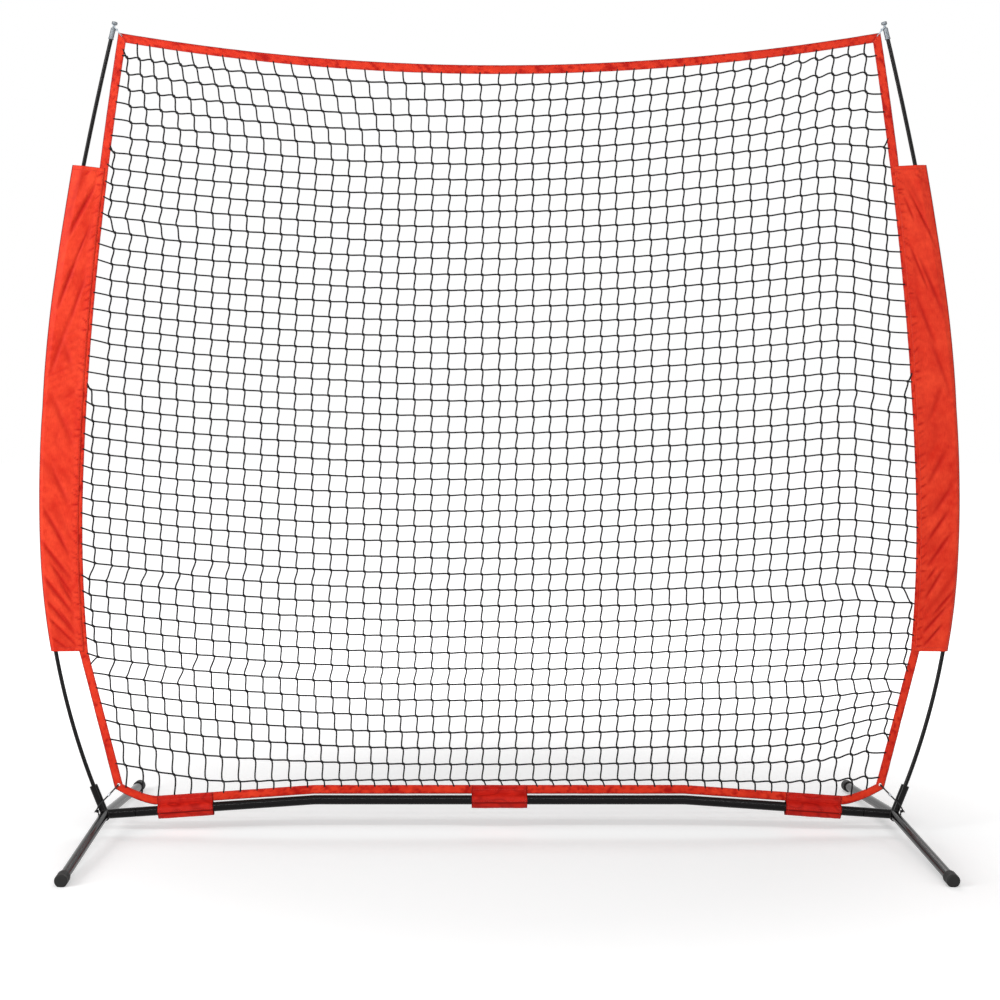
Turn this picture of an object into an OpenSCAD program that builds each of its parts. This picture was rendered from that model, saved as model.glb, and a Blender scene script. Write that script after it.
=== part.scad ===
// Bow-frame practice net that stands by itself: a black steel base, two bowed
// glass-fibre poles in tilted sockets, and a red-bound net stretched between them.
// Origin on the floor under the middle of the net; X along the crossbar,
// Y from the front feet to the rear feet, Z up. Millimetres.
// The right-hand half stands at +X, and mirrored() makes the left-hand half.

/* [Base frame] */
// Distance between the centres of the two leg hubs
hub_span = 2134; // [1700:1:2600]
// Height of the leg tube's centre at the hub
hub_h = 51; // [44:1:70]
// Distance from the hub to the outer face of a foot
leg_reach = 540; // [420:5:700]
// Outside diameter of the leg tubes and the crossbar
tube_d = 25.4; // [20:0.1:30]
// Wall of every steel tube
tube_wall = 1.5; // [1:0.1:2.5]
// Bend radius of the leg tube under the hub
leg_bend_r = 150; // [80:5:300]

/* [Crossbar] */
// Height of the crossbar's level middle
bar_h = 90; // [80:1:120]
// Distance from the middle to each bend of the crossbar
bar_bend_x = 500; // [350:5:650]
// Bend radius of the crossbar
bar_bend_r = 300; // [120:10:600]
// Length of the welded stub, from the hub's centre to the seam
stub_l = 83; // [70:1:120]
// Length of a swaged spigot
spigot_l = 60; // [50:1:65]
// Radial slip between a spigot and the tube round it
spigot_slip = 0.2; // [0.1:0.05:0.4]
// Open seam between a shoulder and the tube it meets
seam_gap = 0.4; // [0.2:0.1:1]

/* [Snap buttons] */
// Diameter of a snap button
button_d = 8; // [6:0.5:9]
// Height of a button above the tube
button_proud = 1.5; // [1:0.1:2.5]
// Radial clearance of a button in its hole
button_slip = 0.2; // [0.1:0.05:0.4]
// Width of the spring strip
spring_w = 8; // [5:0.5:9]
// Thickness of the spring strip
spring_t = 0.8; // [0.5:0.1:1.2]

/* [Feet] */
// Wall of a rubber foot round the leg tube
foot_wall = 3.6; // [3:0.1:6]
// Length of a rubber foot
foot_l = 36; // [25:1:60]
// Thickness of a foot's closed end
foot_floor = 5; // [3:0.5:8]
// Depth that the floor flat cuts into a foot at its middle
foot_flat = 0.8; // [0.5:0.1:1.5]

/* [Pole sockets] */
// Outward tilt of a socket from upright
socket_tilt = 22.1; // [15:0.1:28]
// Outside diameter of a socket
socket_d = 22; // [20:0.1:25]
// Length of a socket, from the hub's centre to its mouth
socket_l = 84; // [70:1:120]
// Distance from the hub's centre to the seat of the pole
pole_seat = 20; // [18:1:30]
// Radial clearance of a pole in its socket's liner
bush_slip = 0.35; // [0.3:0.05:0.6]

/* [Poles] */
// Outside diameter of a pole
pole_d = 11; // [9:0.1:14]
// Bore of a pole
pole_bore = 6; // [4:0.1:8]
// Length of one of the three sections of a pole
section_l = 715; // [590:1:860]
// Angle that the lower section bends through
turn_lower = 20.7; // [16:0.1:24]
// Angle that the middle section bends through
turn_middle = 11.8; // [9:0.1:14]
// Angle that the upper section bends through
turn_upper = 3.9; // [3:0.1:6]
// Length of a ferrule that joins two sections
ferrule_l = 120; // [80:1:140]
// Wall of a ferrule
ferrule_wall = 1.1; // [0.8:0.1:1.6]
// Radial clearance of a pole at the ends of a ferrule
ferrule_slip = 0.1; // [0.05:0.05:0.4]

/* [Top caps and loops] */
// Wall of a top cap round the pole
cap_wall = 1.05; // [0.8:0.05:2]
// Length of pole inside a cap
cap_grip = 30; // [20:1:50]
// Radial clearance of a pole in its cap
cap_slip = 0.25; // [0.15:0.05:0.5]
// Width of the groove that holds the loop
cap_groove = 10; // [9:0.1:12]
// Diameter of the neck in the groove
cap_neck_d = 7; // [5:0.1:8]
// Overhang of a cap's head beyond its wall
cap_overhang = 1; // [0.5:0.1:2.5]
// Height of a cap's head
cap_head_h = 7; // [5:0.1:12]
// Diameter of the loop cord
loop_d = 2.5; // [2:0.1:3]

/* [Net] */
// Inward distance from a pole's tip to the net's top corner
corner_in = 17; // [10:1:40]
// Drop from a pole's tip to the net's top corner
corner_drop = 11; // [5:1:40]
// Sag of the top border at the middle
top_sag = 88; // [40:1:140]
// Distance from the widest point of a pole to the border
belly_gap = 81; // [60:1:110]
// Drop from a pole's widest point to the net's widest point
belly_drop = 75; // [0:5:150]
// Inward distance from the hub to the net's bottom corner
foot_corner_in = 27; // [20:1:60]
// Height of the net's bottom corners
foot_corner_h = 120; // [110:1:150]
// Width of the fabric border
border_w = 24; // [18:1:40]
// Thickness of the folded border
border_t = 2.4; // [1.5:0.1:4]
// Open gap between the crossbar and the bottom border
border_gap = 3.3; // [3:0.1:12]
// Size of one square of the net
mesh = 44.45; // [35:0.05:60]
// Squares of the net that one drawn square stands for, each way
mesh_step = 3; // [3:1:4]
// Thickness of a strand
strand_d = 3; // [2:0.1:4]

/* [Sleeves and flaps] */
// Height of a sleeve's lower hem
sleeve_low = 492; // [400:1:700]
// Drop from a pole's tip to a sleeve's upper hem
sleeve_drop = 369; // [280:1:600]
// Width of the loose edge outside the pole at the upper hem
sleeve_edge = 30; // [12:1:50]
// Thickness of the sleeve fabric
fabric_t = 1.1; // [0.6:0.1:2]
// Clearance between a sleeve and the ferrules inside it
sleeve_slip = 0.9; // [0.8:0.1:3]
// Depth of the tension folds in a sleeve
fold_depth = 3; // [0:0.1:6]
// Length of a flap along the bar
flap_l = 150; // [100:1:180]
// Distance from the hub to the middle of an outer flap
flap_in = 219; // [190:1:300]
// Thickness of a flap's fabric
flap_t = 1.2; // [0.8:0.1:2]

/* [Bungees] */
// Diameter of a bungee cord
bungee_d = 4; // [3:0.1:5]
// Diameter of the hook's wire
wire_d = 3.2; // [2.5:0.1:4]

/* [Hidden] */
$fn = 96;

steel = "#1b1b1c";
rubber = "#141414";
glass_fibre = "#0f0f10";
bright_steel = "#b9bcc0";
aluminium = "#8d9196";
nylon = "#232326";
red_fabric = "#e5301f";
black_twine = "#1c1c1e";
pale_cord = "#c9d3dc";

soft_gap = 0.3;      // soft parts stay this clear of their neighbours
weld_gap = 0.3;      // root gap that a weld bead fills
cope_r = tube_d / 2 + weld_gap;
eps = 1;             // overrun of every cut
half_space = 3000;   // reach of a half space, past the end of every piece

hub_x = hub_span / 2;
tube_bore = tube_d - 2 * tube_wall;
foot_d = tube_d + 2 * foot_wall;
cap_d = pole_d + 2 * cap_slip + 2 * cap_wall;
cap_head_d = cap_d + 2 * cap_overhang;
border_rise = tube_d / 2 + border_gap + border_w / 2;
spigot_d = tube_bore - 2 * spigot_slip;
spigot_bore = spigot_d - 2 * tube_wall;

// Legs: an arc under the hub, then a straight run that falls to each foot.
foot_axis_h = foot_d / 2 - foot_flat;
foot_mid = leg_reach - foot_l / 2;
rough_slope = atan((hub_h - foot_axis_h) / foot_mid);
leg_slope = atan((hub_h - foot_axis_h + leg_bend_r * (1 / cos(rough_slope) - 1)) / foot_mid);
leg_arc_y = leg_bend_r * sin(leg_slope);
leg_arc_z = hub_h - leg_bend_r * (1 - cos(leg_slope));
leg_run = (leg_reach - leg_arc_y) / cos(leg_slope);
leg_tube_end = leg_run - foot_floor - 0.2;

// Crossbar: it rises from each hub to a bend and is level between the bends.
bar_rise = atan((bar_h - hub_h) / (hub_x - bar_bend_x));
bar_tangent = bar_bend_r * tan(bar_rise / 2);
bar_arc_x = bar_bend_x - bar_tangent;
bar_slope_l = (hub_x - bar_bend_x) / cos(bar_rise) - bar_tangent - stub_l - seam_gap;
function bar_z(x) = abs(x) < bar_bend_x ? bar_h : bar_h - (abs(x) - bar_bend_x) * tan(bar_rise);

// Snap buttons, measured from the seam along the spigot.
button_at = spigot_l / 2;
leaf_top = sqrt(pow(spigot_bore / 2 - soft_gap, 2) - pow(spring_w / 2, 2));
leaf_front = button_at + 9;
leaf_back = button_at - 12;
spring_heel = 5;

// Poles: each section is an arc that leaves the one below it at a tangent, and the
// lower one is parallel to its socket at half its depth there. On an arc the heading
// is an angle from upright, positive outwards.
turns = [turn_lower, turn_middle, turn_upper];
socket_mid = (pole_seat + socket_l) / 2;
function heading(a) = [sin(a), 0, cos(a)];
function outward(a) = [cos(a), 0, -sin(a)];
function section_r(k) = section_l / (turns[k] * PI / 180);
function start_angle(k) = k == 0
    ? socket_tilt + turns[0] * (socket_mid - pole_seat) / section_l
    : start_angle(k - 1) - turns[k - 1];
function section_centre(k) = k == 0
    ? [hub_x, 0, hub_h] + socket_mid * heading(socket_tilt) - section_r(0) * outward(socket_tilt)
    : section_centre(k - 1) + (section_r(k - 1) - section_r(k)) * outward(start_angle(k));
function pole_point(k, a) = section_centre(k) + section_r(k) * outward(a);
// Distance from the middle plane to the pole's centre line at a height.
function pole_x(z, k = 0) = k == 2 || z <= pole_point(k, start_angle(k + 1))[2]
    ? section_centre(k)[0] + sqrt(pow(section_r(k), 2) - pow(z - section_centre(k)[2], 2))
    : pole_x(z, k + 1);
tip_angle = start_angle(3);
pole_tip = pole_point(2, tip_angle);
widest = [for (k = [0:2]) pole_point(k, max(min(0, start_angle(k)), start_angle(k + 1)))];
sleeve_high = pole_tip[2] - sleeve_drop;
belly_x = max([for (p = widest) p[0]]);
belly_z = [for (p = widest) if (p[0] == belly_x) p[2]][0] - belly_drop;
// A ferrule has the mean curve of its two sections, so each strays from its bore's middle.
function ferrule_stray(k) = pow(ferrule_l, 2) / 16 * abs(1 / section_r(k - 1) - 1 / section_r(k));
ferrule_bore = pole_d + 2 * (ferrule_slip + max(ferrule_stray(1), ferrule_stray(2)));
ferrule_d = ferrule_bore + 2 * ferrule_wall;

// Net outline.
top_corner = [pole_tip[0] - corner_in, pole_tip[2] - corner_drop];
low_corner = [hub_x - foot_corner_in, foot_corner_h];
side_belly = belly_x - belly_gap;
side_tuck = 15;      // how far the side border has come in again at the sleeve's lower hem
function side_x(z) =
    z >= belly_z ? side_belly - (side_belly - top_corner[0])
        * pow((z - belly_z) / (top_corner[1] - belly_z), 1.7)
    : z >= sleeve_low ? side_belly - side_tuck * pow((belly_z - z) / (belly_z - sleeve_low), 2)
    : low_corner[0] + (side_belly - side_tuck - low_corner[0])
        * (z - low_corner[1]) / (sleeve_low - low_corner[1]);
function top_z(x) = top_corner[1] - border_w / 2 - top_sag * (1 - pow(x / top_corner[0], 2));
flap_x = hub_x - flap_in;
run_x = flap_x + flap_l / 2 + 5;
run_z = bar_z(run_x) + border_rise;
function low_z(x) = abs(x) <= run_x ? bar_z(x) + border_rise
    : run_z + (low_corner[1] + border_w / 2 - run_z)
        * pow((abs(x) - run_x) / (low_corner[0] - run_x), 1.5);

// Corner where a line at a height above the bottom border's middle, or below the top
// border's, meets a line that lies inside the net's side edge.
function meet_low(inset, rise, x = low_corner[0], n = 8) = n == 0 ? [x, low_z(x) + rise]
    : meet_low(inset, rise, side_x(low_z(x) + rise) - inset, n - 1);
function meet_top(inset, drop, x = top_corner[0], n = 8) = n == 0 ? [x, top_z(x) - drop]
    : meet_top(inset, drop, side_x(top_z(x) - drop) - inset, n - 1);
half_w = border_w / 2;

// Net grid: u runs from -1 at the left border to 1 at the right, v from 0 to 1 upwards.
net_inset = border_w + soft_gap;
net_low = meet_low(net_inset, half_w + soft_gap);
net_top = meet_top(net_inset, half_w + soft_gap);
function net_z(u, v) = (1 - v) * (low_z(u * net_low[0]) + half_w + soft_gap)
    + v * (top_z(u * net_top[0]) - half_w - soft_gap);
function net_point(u, v) = [u * (side_x(net_z(1, v)) - net_inset), net_z(u, v)];
net_cols = round(2 * net_point(1, 0.5)[0] / mesh / mesh_step);
net_rows = round((net_top[1] - net_low[1]) / mesh / mesh_step);
function half_steps(n) = [for (i = [-n:n]) i / n];

// Eyelets in the net's corners, and the loop between a top eyelet and its cap.
eyelet_in = 9;
top_eyelet = top_corner - [eyelet_in, eyelet_in];
low_eyelet = low_corner + [-eyelet_in - 1, eyelet_in + 2];
top_eyelet_d = loop_d + 1;
low_eyelet_d = 2 * bungee_d;
cap_floor = 1.3;
neck_mid = pole_tip + (cap_floor + cap_groove / 2) * heading(tip_angle);
loop_run = norm([neck_mid[0] - top_eyelet[0], neck_mid[2] - top_eyelet[1]]);
loop_fall = atan2(neck_mid[2] - top_eyelet[1], neck_mid[0] - top_eyelet[0]);
loop_r = (cap_neck_d / 2 + loop_d / 2 + 0.2) / sin(90 - loop_fall - tip_angle);

// Flaps: sections in the plane across the bar, x to the rear and y up from the bar's centre.
flap_back_r = tube_d / 2 + soft_gap + 0.1 + flap_t / 2;
flap_front_r = flap_back_r + flap_t + soft_gap;
flap_y = border_t / 2 + soft_gap + flap_t / 2;
hinge_z = border_rise - border_w / 2 + 1;
flap_step = 15;
function polar(r, a) = r * [cos(a), sin(a)];
function tangent_angle(p, r, side) = atan2(p[1], p[0]) + side * acos(r / norm(p));
function arc_points(r, from, to) = [let (n = ceil(abs(to - from) / flap_step))
    for (i = [0:n]) polar(r, from + (to - from) * i / n)];

// Bungee route on the right-hand side, from the crimp through the eyelet and back,
// then across the front of the socket to the hook.
bungee_route = [
    [1058, -10.6, 101.7], [1051.3, -8.4, 108.8], [1041.6, -4.9, 119], [1033.8, -4, 127.2],
    [1031.8, -2.8, 129.2], [1031, 0, 130.1], [1031.8, 2.8, 129.2], [1033.8, 4, 127.2],
    [1041.6, 3.6, 119], [1046.5, 0.6, 113.9], [1051.3, -3.8, 108.8], [1058, -5.9, 101.7],
    [1064, -9.5, 95.5], [1070, -12.8, 89.3], [1076, -14.4, 83], [1081, -16, 76],
    [1084.4, -18, 70], [1086, -19, 65.6], [1086.4, -17.6, 62], [1086.4, -14, 60.8],
    [1086.4, -9.5, 60.6]];
hook_y = -15;
hook_z = leg_arc_z + (leg_arc_y + hook_y) * tan(leg_slope);
hook_r = tube_d / 2 + wire_d / 2 + 0.5;
hook_top = 60.2;
eye_r = 4.6;
crimp_at = [1054.6, -7.2, 105.3];
crimp_l = 9;
crimp_turn = 46.5;
crimp_lean = 12.5;

module mirrored(side) {
    mirror([side < 0 ? 1 : 0, 0, 0]) children();
}

module ring(d, bore) {
    difference() {
        circle(d = d);
        circle(d = bore);
    }
}

module tube(l, d, bore) {
    linear_extrude(l) ring(d, bore);
}

// Bend that starts at the origin, heading along Z, and turns towards X.
module bend(r, angle, d, bore) {
    translate([r, 0, 0]) rotate([90, 0, 0]) mirror([1, 0, 0])
        rotate_extrude(angle = angle, $fn = 256) translate([r, 0]) ring(d, bore);
}

module wire_bend(r, angle, d) {
    translate([r, 0, 0]) rotate([90, 0, 0]) mirror([1, 0, 0])
        rotate_extrude(angle = angle) translate([r, 0]) circle(d = d);
}

// Half space on the side of the origin that X points away from.
module behind() {
    translate([-2 * half_space, -half_space, -half_space]) cube(2 * half_space);
}

module at_hub() {
    translate([hub_x, 0, hub_h]) children();
}

// Along the socket, Z outwards and up.
module at_socket() {
    at_hub() rotate([0, socket_tilt, 0]) children();
}

// Along the stub, Z towards the middle.
module at_stub() {
    at_hub() rotate([0, bar_rise - 90, 0]) children();
}

// At the seam of the stub, Z towards the hub.
module at_side_seam() {
    at_stub() translate([0, 0, stub_l]) rotate([0, 180, 0]) children();
}

// At the seam in the middle of the crossbar, Z towards +X and Y up.
module at_middle_seam() {
    translate([0, 0, bar_h]) rotate([0, 90, 0]) rotate([0, 0, 90]) children();
}

// Top of the run that falls towards +Y, Z back up the tube.
module at_leg_top() {
    translate([hub_x, 0, hub_h - leg_bend_r]) rotate([-leg_slope, 0, 0])
        translate([0, 0, leg_bend_r]) rotate([90, 0, 0]) children();
}

// Outer end of the run, Z away from the hub.
module at_leg_end() {
    at_leg_top() translate([0, 0, -leg_run]) rotate([180, 0, 0]) children();
}

// Centre of the crossbar's bend, turned about it by part of the bend.
module at_bar_bend(turn) {
    translate([bar_arc_x, 0, bar_h - bar_bend_r]) rotate([0, turn, 0]) children();
}

module button_hole(d) {
    translate([0, 0, button_at]) rotate([-90, 0, 0]) cylinder(h = tube_d, d = d);
}

// Each half is a run and half of the bend, cut square where the halves meet.
module leg_tube(side) {
    color(steel) mirrored(side) for (m = [0, 1]) mirror([0, m, 0]) difference() {
        at_leg_top() {
            rotate([0, 0, -90]) bend(leg_bend_r, leg_slope + 1, tube_d, tube_bore);
            rotate([180, 0, 0]) tube(leg_tube_end, tube_d, tube_bore);
        }
        translate([hub_x, 0, hub_h]) rotate([0, 0, 90]) behind();
    }
}

module foot(side, end) {
    grip_pitch = 7;
    grip_depth = 0.7;
    corner = 3;
    color(rubber) mirrored(side) mirror([0, end < 0 ? 1 : 0, 0]) difference() {
        at_leg_end() translate([0, 0, -foot_l]) rotate_extrude() difference() {
            polygon([
                [0, 0], [foot_d / 2 - 1, 0], [foot_d / 2, 1], [foot_d / 2, foot_l - corner],
                [foot_d / 2 - corner, foot_l], [0, foot_l]]);
            translate([0, -eps]) square([tube_d / 2 + 0.05, foot_l - foot_floor + eps]);
            for (i = [1:3]) translate([foot_d / 2, i * grip_pitch]) circle(r = grip_depth);
        }
        translate([hub_x - foot_d, 0, -foot_d]) cube([2 * foot_d, leg_reach + foot_d, foot_d]);
    }
}

module bar_stub(side) {
    color(steel) mirrored(side) difference() {
        at_stub() tube(stub_l, tube_d, tube_bore);
        at_hub() rotate([90, 0, 0]) cylinder(h = 2 * tube_d, r = cope_r, center = true);
        at_socket() cylinder(h = socket_l, d = socket_d + 2 * weld_gap);
        at_side_seam() button_hole(button_d + 2 * button_slip);
    }
}

// Outline of a straight run that ends in a swaged spigot.
module swaged_profile(l) {
    taper = (tube_d - spigot_d) / 2;
    polygon([
        [tube_bore / 2, 0], [tube_d / 2, 0], [tube_d / 2, l - taper], [spigot_d / 2, l],
        [spigot_d / 2, l + spigot_l], [spigot_bore / 2, l + spigot_l],
        [spigot_bore / 2, l], [tube_bore / 2, l - taper]]);
}

// A level part and a sloping part that meet in the middle of the bend.
module half_bar(side) {
    level = bar_arc_x - seam_gap / 2;
    half_bend = bar_rise / 2 + 1;
    color(steel) mirrored(side) difference() {
        union() {
            difference() {
                at_bar_bend(0) translate([0, 0, bar_bend_r]) rotate([0, 90, 0]) {
                    bend(bar_bend_r, half_bend, tube_d, tube_bore);
                    rotate([180, 0, 0])
                        if (side < 0) rotate_extrude() swaged_profile(level);
                        else tube(level, tube_d, tube_bore);
                }
                at_bar_bend(bar_rise / 2) mirror([1, 0, 0]) behind();
            }
            difference() {
                at_bar_bend(bar_rise) translate([0, 0, bar_bend_r]) rotate([0, 90, 0]) {
                    rotate([180, 0, 0]) bend(bar_bend_r, half_bend, tube_d, tube_bore);
                    rotate_extrude() swaged_profile(bar_slope_l);
                }
                at_bar_bend(bar_rise / 2) behind();
            }
        }
        at_side_seam() button_hole(button_d + 2 * button_slip);
        mirrored(side) at_middle_seam() button_hole(button_d + 2 * button_slip);
    }
}

// U-shaped strip inside a spigot: a heel that carries the button's leaf and a foot
// that lies on the far wall.
module snap_spring() {
    bend_r = leaf_top - spring_t / 2;
    color(bright_steel) translate([-spring_w / 2, 0, 0]) rotate([0, 90, 0]) linear_extrude(spring_w) {
        difference() {
            translate([-(leaf_back - soft_gap - spring_heel), 0]) difference() {
                circle(r = leaf_top);
                circle(r = leaf_top - spring_t);
            }
            translate([-(leaf_back - soft_gap - spring_heel) - 2 * bend_r, -2 * bend_r])
                square([2 * bend_r, 4 * bend_r]);
        }
        translate([-(leaf_back - soft_gap), leaf_top - spring_t]) square([spring_heel, spring_t]);
        translate([-leaf_front, -leaf_top])
            square([leaf_front - leaf_back + soft_gap + spring_heel, spring_t]);
    }
}

// Domed button on the leaf that presses it out; it slides along Y.
module snap_button() {
    crown = 1.2;
    button_l = tube_d / 2 + button_proud - leaf_top + spring_t / 2;
    color(bright_steel) {
        translate([-spring_w / 2, leaf_top - spring_t, leaf_back])
            cube([spring_w, spring_t, leaf_front - leaf_back]);
        translate([0, leaf_top - spring_t / 2, button_at]) rotate([-90, 0, 0])
            rotate_extrude() polygon([
                [0, 0], [button_d / 2, 0], [button_d / 2, button_l - crown],
                [button_d / 2 - crown, button_l], [0, button_l]]);
    }
}

module pole_socket(side) {
    color(steel) mirrored(side) difference() {
        at_socket() tube(socket_l, socket_d, socket_d - 2 * tube_wall);
        at_hub() rotate([90, 0, 0]) cylinder(h = 2 * tube_d, r = cope_r, center = true);
    }
}

// Plastic liner that takes the pole's end, flush with the socket's mouth.
module socket_bush(side) {
    bush_d = socket_d - 2 * tube_wall - 0.2;
    floor_h = pole_seat - soft_gap;
    floor_t = 3;
    color(nylon) mirrored(side) at_socket() difference() {
        translate([0, 0, floor_h - floor_t]) cylinder(h = socket_l - floor_h + floor_t, d = bush_d);
        translate([0, 0, floor_h]) cylinder(h = socket_l, d = pole_d + 2 * bush_slip);
    }
}

// Arc of tube round a centre, between two headings.
module pole_arc(centre, r, from, to, d, bore) {
    translate(centre) rotate([90, 0, 0]) rotate([0, 0, -from])
        rotate_extrude(angle = from - to, $fn = 256) translate([r, 0]) ring(d, bore);
}

module pole_section(side, k) {
    seam = k == 2 ? 0 : seam_gap / section_r(k) * 180 / PI;
    color(glass_fibre) mirrored(side)
        pole_arc(section_centre(k), section_r(k), start_angle(k), start_angle(k + 1) + seam,
            pole_d, pole_bore);
}

// Sleeve over the joint below section k, bent to the mean of its two sections.
module ferrule(side, k) {
    a = start_angle(k);
    r = 2 / (1 / section_r(k - 1) + 1 / section_r(k));
    half_turn = ferrule_l / 2 / r * 180 / PI;
    color(bright_steel) mirrored(side)
        pole_arc(pole_point(k, a) - r * outward(a), r, a + half_turn, a - half_turn,
            ferrule_d, ferrule_bore);
}

module top_cap(side) {
    lip = 0.7;
    lip_h = 3;
    chamfer = 1;
    seat = 0.2;
    bore_r = pole_d / 2 + cap_slip;
    neck_low = cap_floor;
    neck_high = cap_floor + cap_groove;
    top = neck_high + cap_head_h;
    color(aluminium) mirrored(side) translate(pole_tip) rotate([0, tip_angle, 0]) rotate_extrude()
        polygon([
            [0, seat], [bore_r, seat], [bore_r, -cap_grip], [cap_d / 2 + lip, -cap_grip],
            [cap_d / 2 + lip, lip_h - cap_grip], [cap_d / 2, lip_h + lip - cap_grip],
            [cap_d / 2, neck_low - chamfer], [cap_d / 2 - chamfer, neck_low], [cap_neck_d / 2, neck_low],
            [cap_neck_d / 2, neck_high], [cap_head_d / 2, neck_high], [cap_head_d / 2, top - chamfer],
            [cap_head_d / 2 - chamfer, top], [0, top]]);
}

// Closed loop of cord round the cap's neck and through the corner eyelet.
module top_loop(side) {
    straight = loop_run - loop_r;
    color(pale_cord) mirrored(side) translate(neck_mid) rotate([0, -loop_fall, 0]) {
        rotate([0, 0, -90]) rotate_extrude(angle = 180) translate([loop_r, 0]) circle(d = loop_d);
        for (y = [-loop_r, loop_r]) translate([0, y, 0]) rotate([0, -90, 0])
            cylinder(h = straight, d = loop_d);
        translate([-straight, 0, 0]) rotate([0, 0, 90]) rotate_extrude(angle = 180)
            translate([loop_r, 0]) circle(d = loop_d);
    }
}

// Flat band in the net's plane between two lists of points, given as [x, z].
module band(upper, lower, t) {
    translate([0, t / 2, 0]) rotate([90, 0, 0]) linear_extrude(t)
        polygon(concat(upper, [for (i = [len(lower) - 1:-1:0]) lower[i]]));
}

module eyelet_hole(p, d) {
    for (s = [-1, 1]) translate([s * p[0], 0, p[1]]) rotate([90, 0, 0])
        cylinder(h = 2 * border_t, d = d, center = true);
}

// The borders bend only where the net does, at every half square of its grid.
module border_top() {
    function edge(corner) = concat([-corner], [for (u = half_steps(net_cols)) u * net_top[0]],
        [corner]);
    low = meet_top(0, half_w)[0];
    color(red_fabric) difference() {
        band([for (x = edge(top_corner[0])) [x, top_z(x) + half_w]],
            [for (x = edge(low)) [x, top_z(x) - half_w]], border_t);
        eyelet_hole(top_eyelet, top_eyelet_d);
    }
}

module border_bottom() {
    function edge(corner) = concat([-corner], [for (u = half_steps(net_cols)) u * net_low[0]],
        [corner]);
    high = meet_low(0, half_w)[0];
    color(red_fabric) difference() {
        band([for (x = edge(high)) [x, low_z(x) + half_w]],
            [for (x = edge(low_corner[0])) [x, low_z(x) - half_w]], border_t);
        eyelet_hole(low_eyelet, low_eyelet_d);
    }
}

module border_side(side) {
    rise = half_w + soft_gap;
    between = [for (u = half_steps(net_rows)) if (abs(u) < 1) net_z(1, (u + 1) / 2)];
    function edge(inset) = concat([meet_low(inset, rise)],
        [for (z = between) [side_x(z) - inset, z]], [meet_top(inset, rise)]);
    color(red_fabric) mirrored(side) band(edge(0), edge(border_w), border_t);
}

// Each opening is cut from a sheet. Those at an edge follow it with one more point.
module net() {
    s = strand_d / 2;
    function knot(i, j, x, z) = net_point(2 * i / net_cols - 1, j / net_rows) + [x, z];
    function opening(i, j) = concat(
        [knot(i, j, s, s)], j == 0 ? [knot(i + 0.5, j, 0, s)] : [],
        [knot(i + 1, j, -s, s)], i == net_cols - 1 ? [knot(i + 1, j + 0.5, -s, 0)] : [],
        [knot(i + 1, j + 1, -s, -s)], j == net_rows - 1 ? [knot(i + 0.5, j + 1, 0, -s)] : [],
        [knot(i, j + 1, s, -s)], i == 0 ? [knot(i, j + 0.5, s, 0)] : []);
    across = half_steps(net_cols);
    up = half_steps(net_rows);
    outline = concat(
        [for (u = across) if (u < 1) net_point(u, 0)],
        [for (v = up) if (v < 1) net_point(1, (v + 1) / 2)],
        [for (u = across) if (u < 1) net_point(-u, 1)],
        [for (v = up) if (v < 1) net_point(-1, (1 - v) / 2)]);
    color(black_twine) translate([0, s, 0]) rotate([90, 0, 0]) linear_extrude(strand_d)
        difference() {
            polygon(outline);
            for (i = [0:net_cols - 1], j = [0:net_rows - 1]) polygon(opening(i, j));
        }
}

// Section of a sleeve at a height: flat at both edges and round over the pole.
sleeve_arc_points = 5;
function sleeve_ring(z, phase, inset) = let (
    share = (z - sleeve_low) / (sleeve_high - sleeve_low),
    centre = pole_x(z),
    r = ferrule_d / 2 + sleeve_slip + fabric_t - inset,
    half_t = fabric_t + 0.3 - inset,
    inner = side_x(z) + 2 * soft_gap + 2 * inset - centre,
    loose = max(0, (share - 0.5) * 2),
    outer = ferrule_d / 2 + sleeve_slip + fabric_t + 3 + (sleeve_edge - 12) * loose - 2 * inset,
    fold = fold_depth * sin(phase),
    a_in = 180 - atan2(half_t, -inner) - acos(r / norm([inner, half_t])),
    a_out = atan2(half_t, outer) + acos(r / norm([outer, half_t])),
    web = [(inner + r * cos(a_in)) / 2, (half_t + r * sin(a_in)) / 2],
    crown = [for (i = [0:sleeve_arc_points]) polar(r, a_in + (a_out - a_in) * i / sleeve_arc_points)],
    upper = concat([[inner, half_t], web + [0, fold]], crown, [[outer, half_t]]),
    lower = concat([[inner, -half_t], [web[0], fold - web[1]]],
        [for (p = crown) [p[0], -p[1]]], [[outer, -half_t]]))
    [for (p = concat(upper, [for (i = [len(lower) - 1:-1:0]) lower[i]])) [centre + p[0], p[1], z]];

module sleeve(side) {
    n = 18;
    zs = [for (i = [0:n]) sleeve_low + (sleeve_high - sleeve_low) * i / n];
    outer = [for (i = [0:n]) each sleeve_ring(zs[i], i * 137, 0)];
    inner = [for (i = [0:n]) each sleeve_ring(zs[i], i * 137, fabric_t)];
    m = len(outer) / (n + 1);
    k = len(outer);
    function quad(a, b, c, d) = [[a, b, c], [a, c, d]];
    // The inner skin's faces turn the other way round and keep the outer skin's diagonals.
    faces = [for (j = [0:m - 1]) let (q = (j + 1) % m) each concat(
        [for (i = [0:n - 1]) let (a = i * m + j, b = i * m + q, c = b + m, d = a + m)
            each concat(quad(a, b, c, d), quad(k + c, k + b, k + a, k + d))],
        quad(q, j, k + j, k + q),
        quad(n * m + j, n * m + q, k + n * m + q, k + n * m + j))];
    color(red_fabric) mirrored(side) polyhedron(concat(outer, inner), faces, convexity = 6);
}

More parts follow.
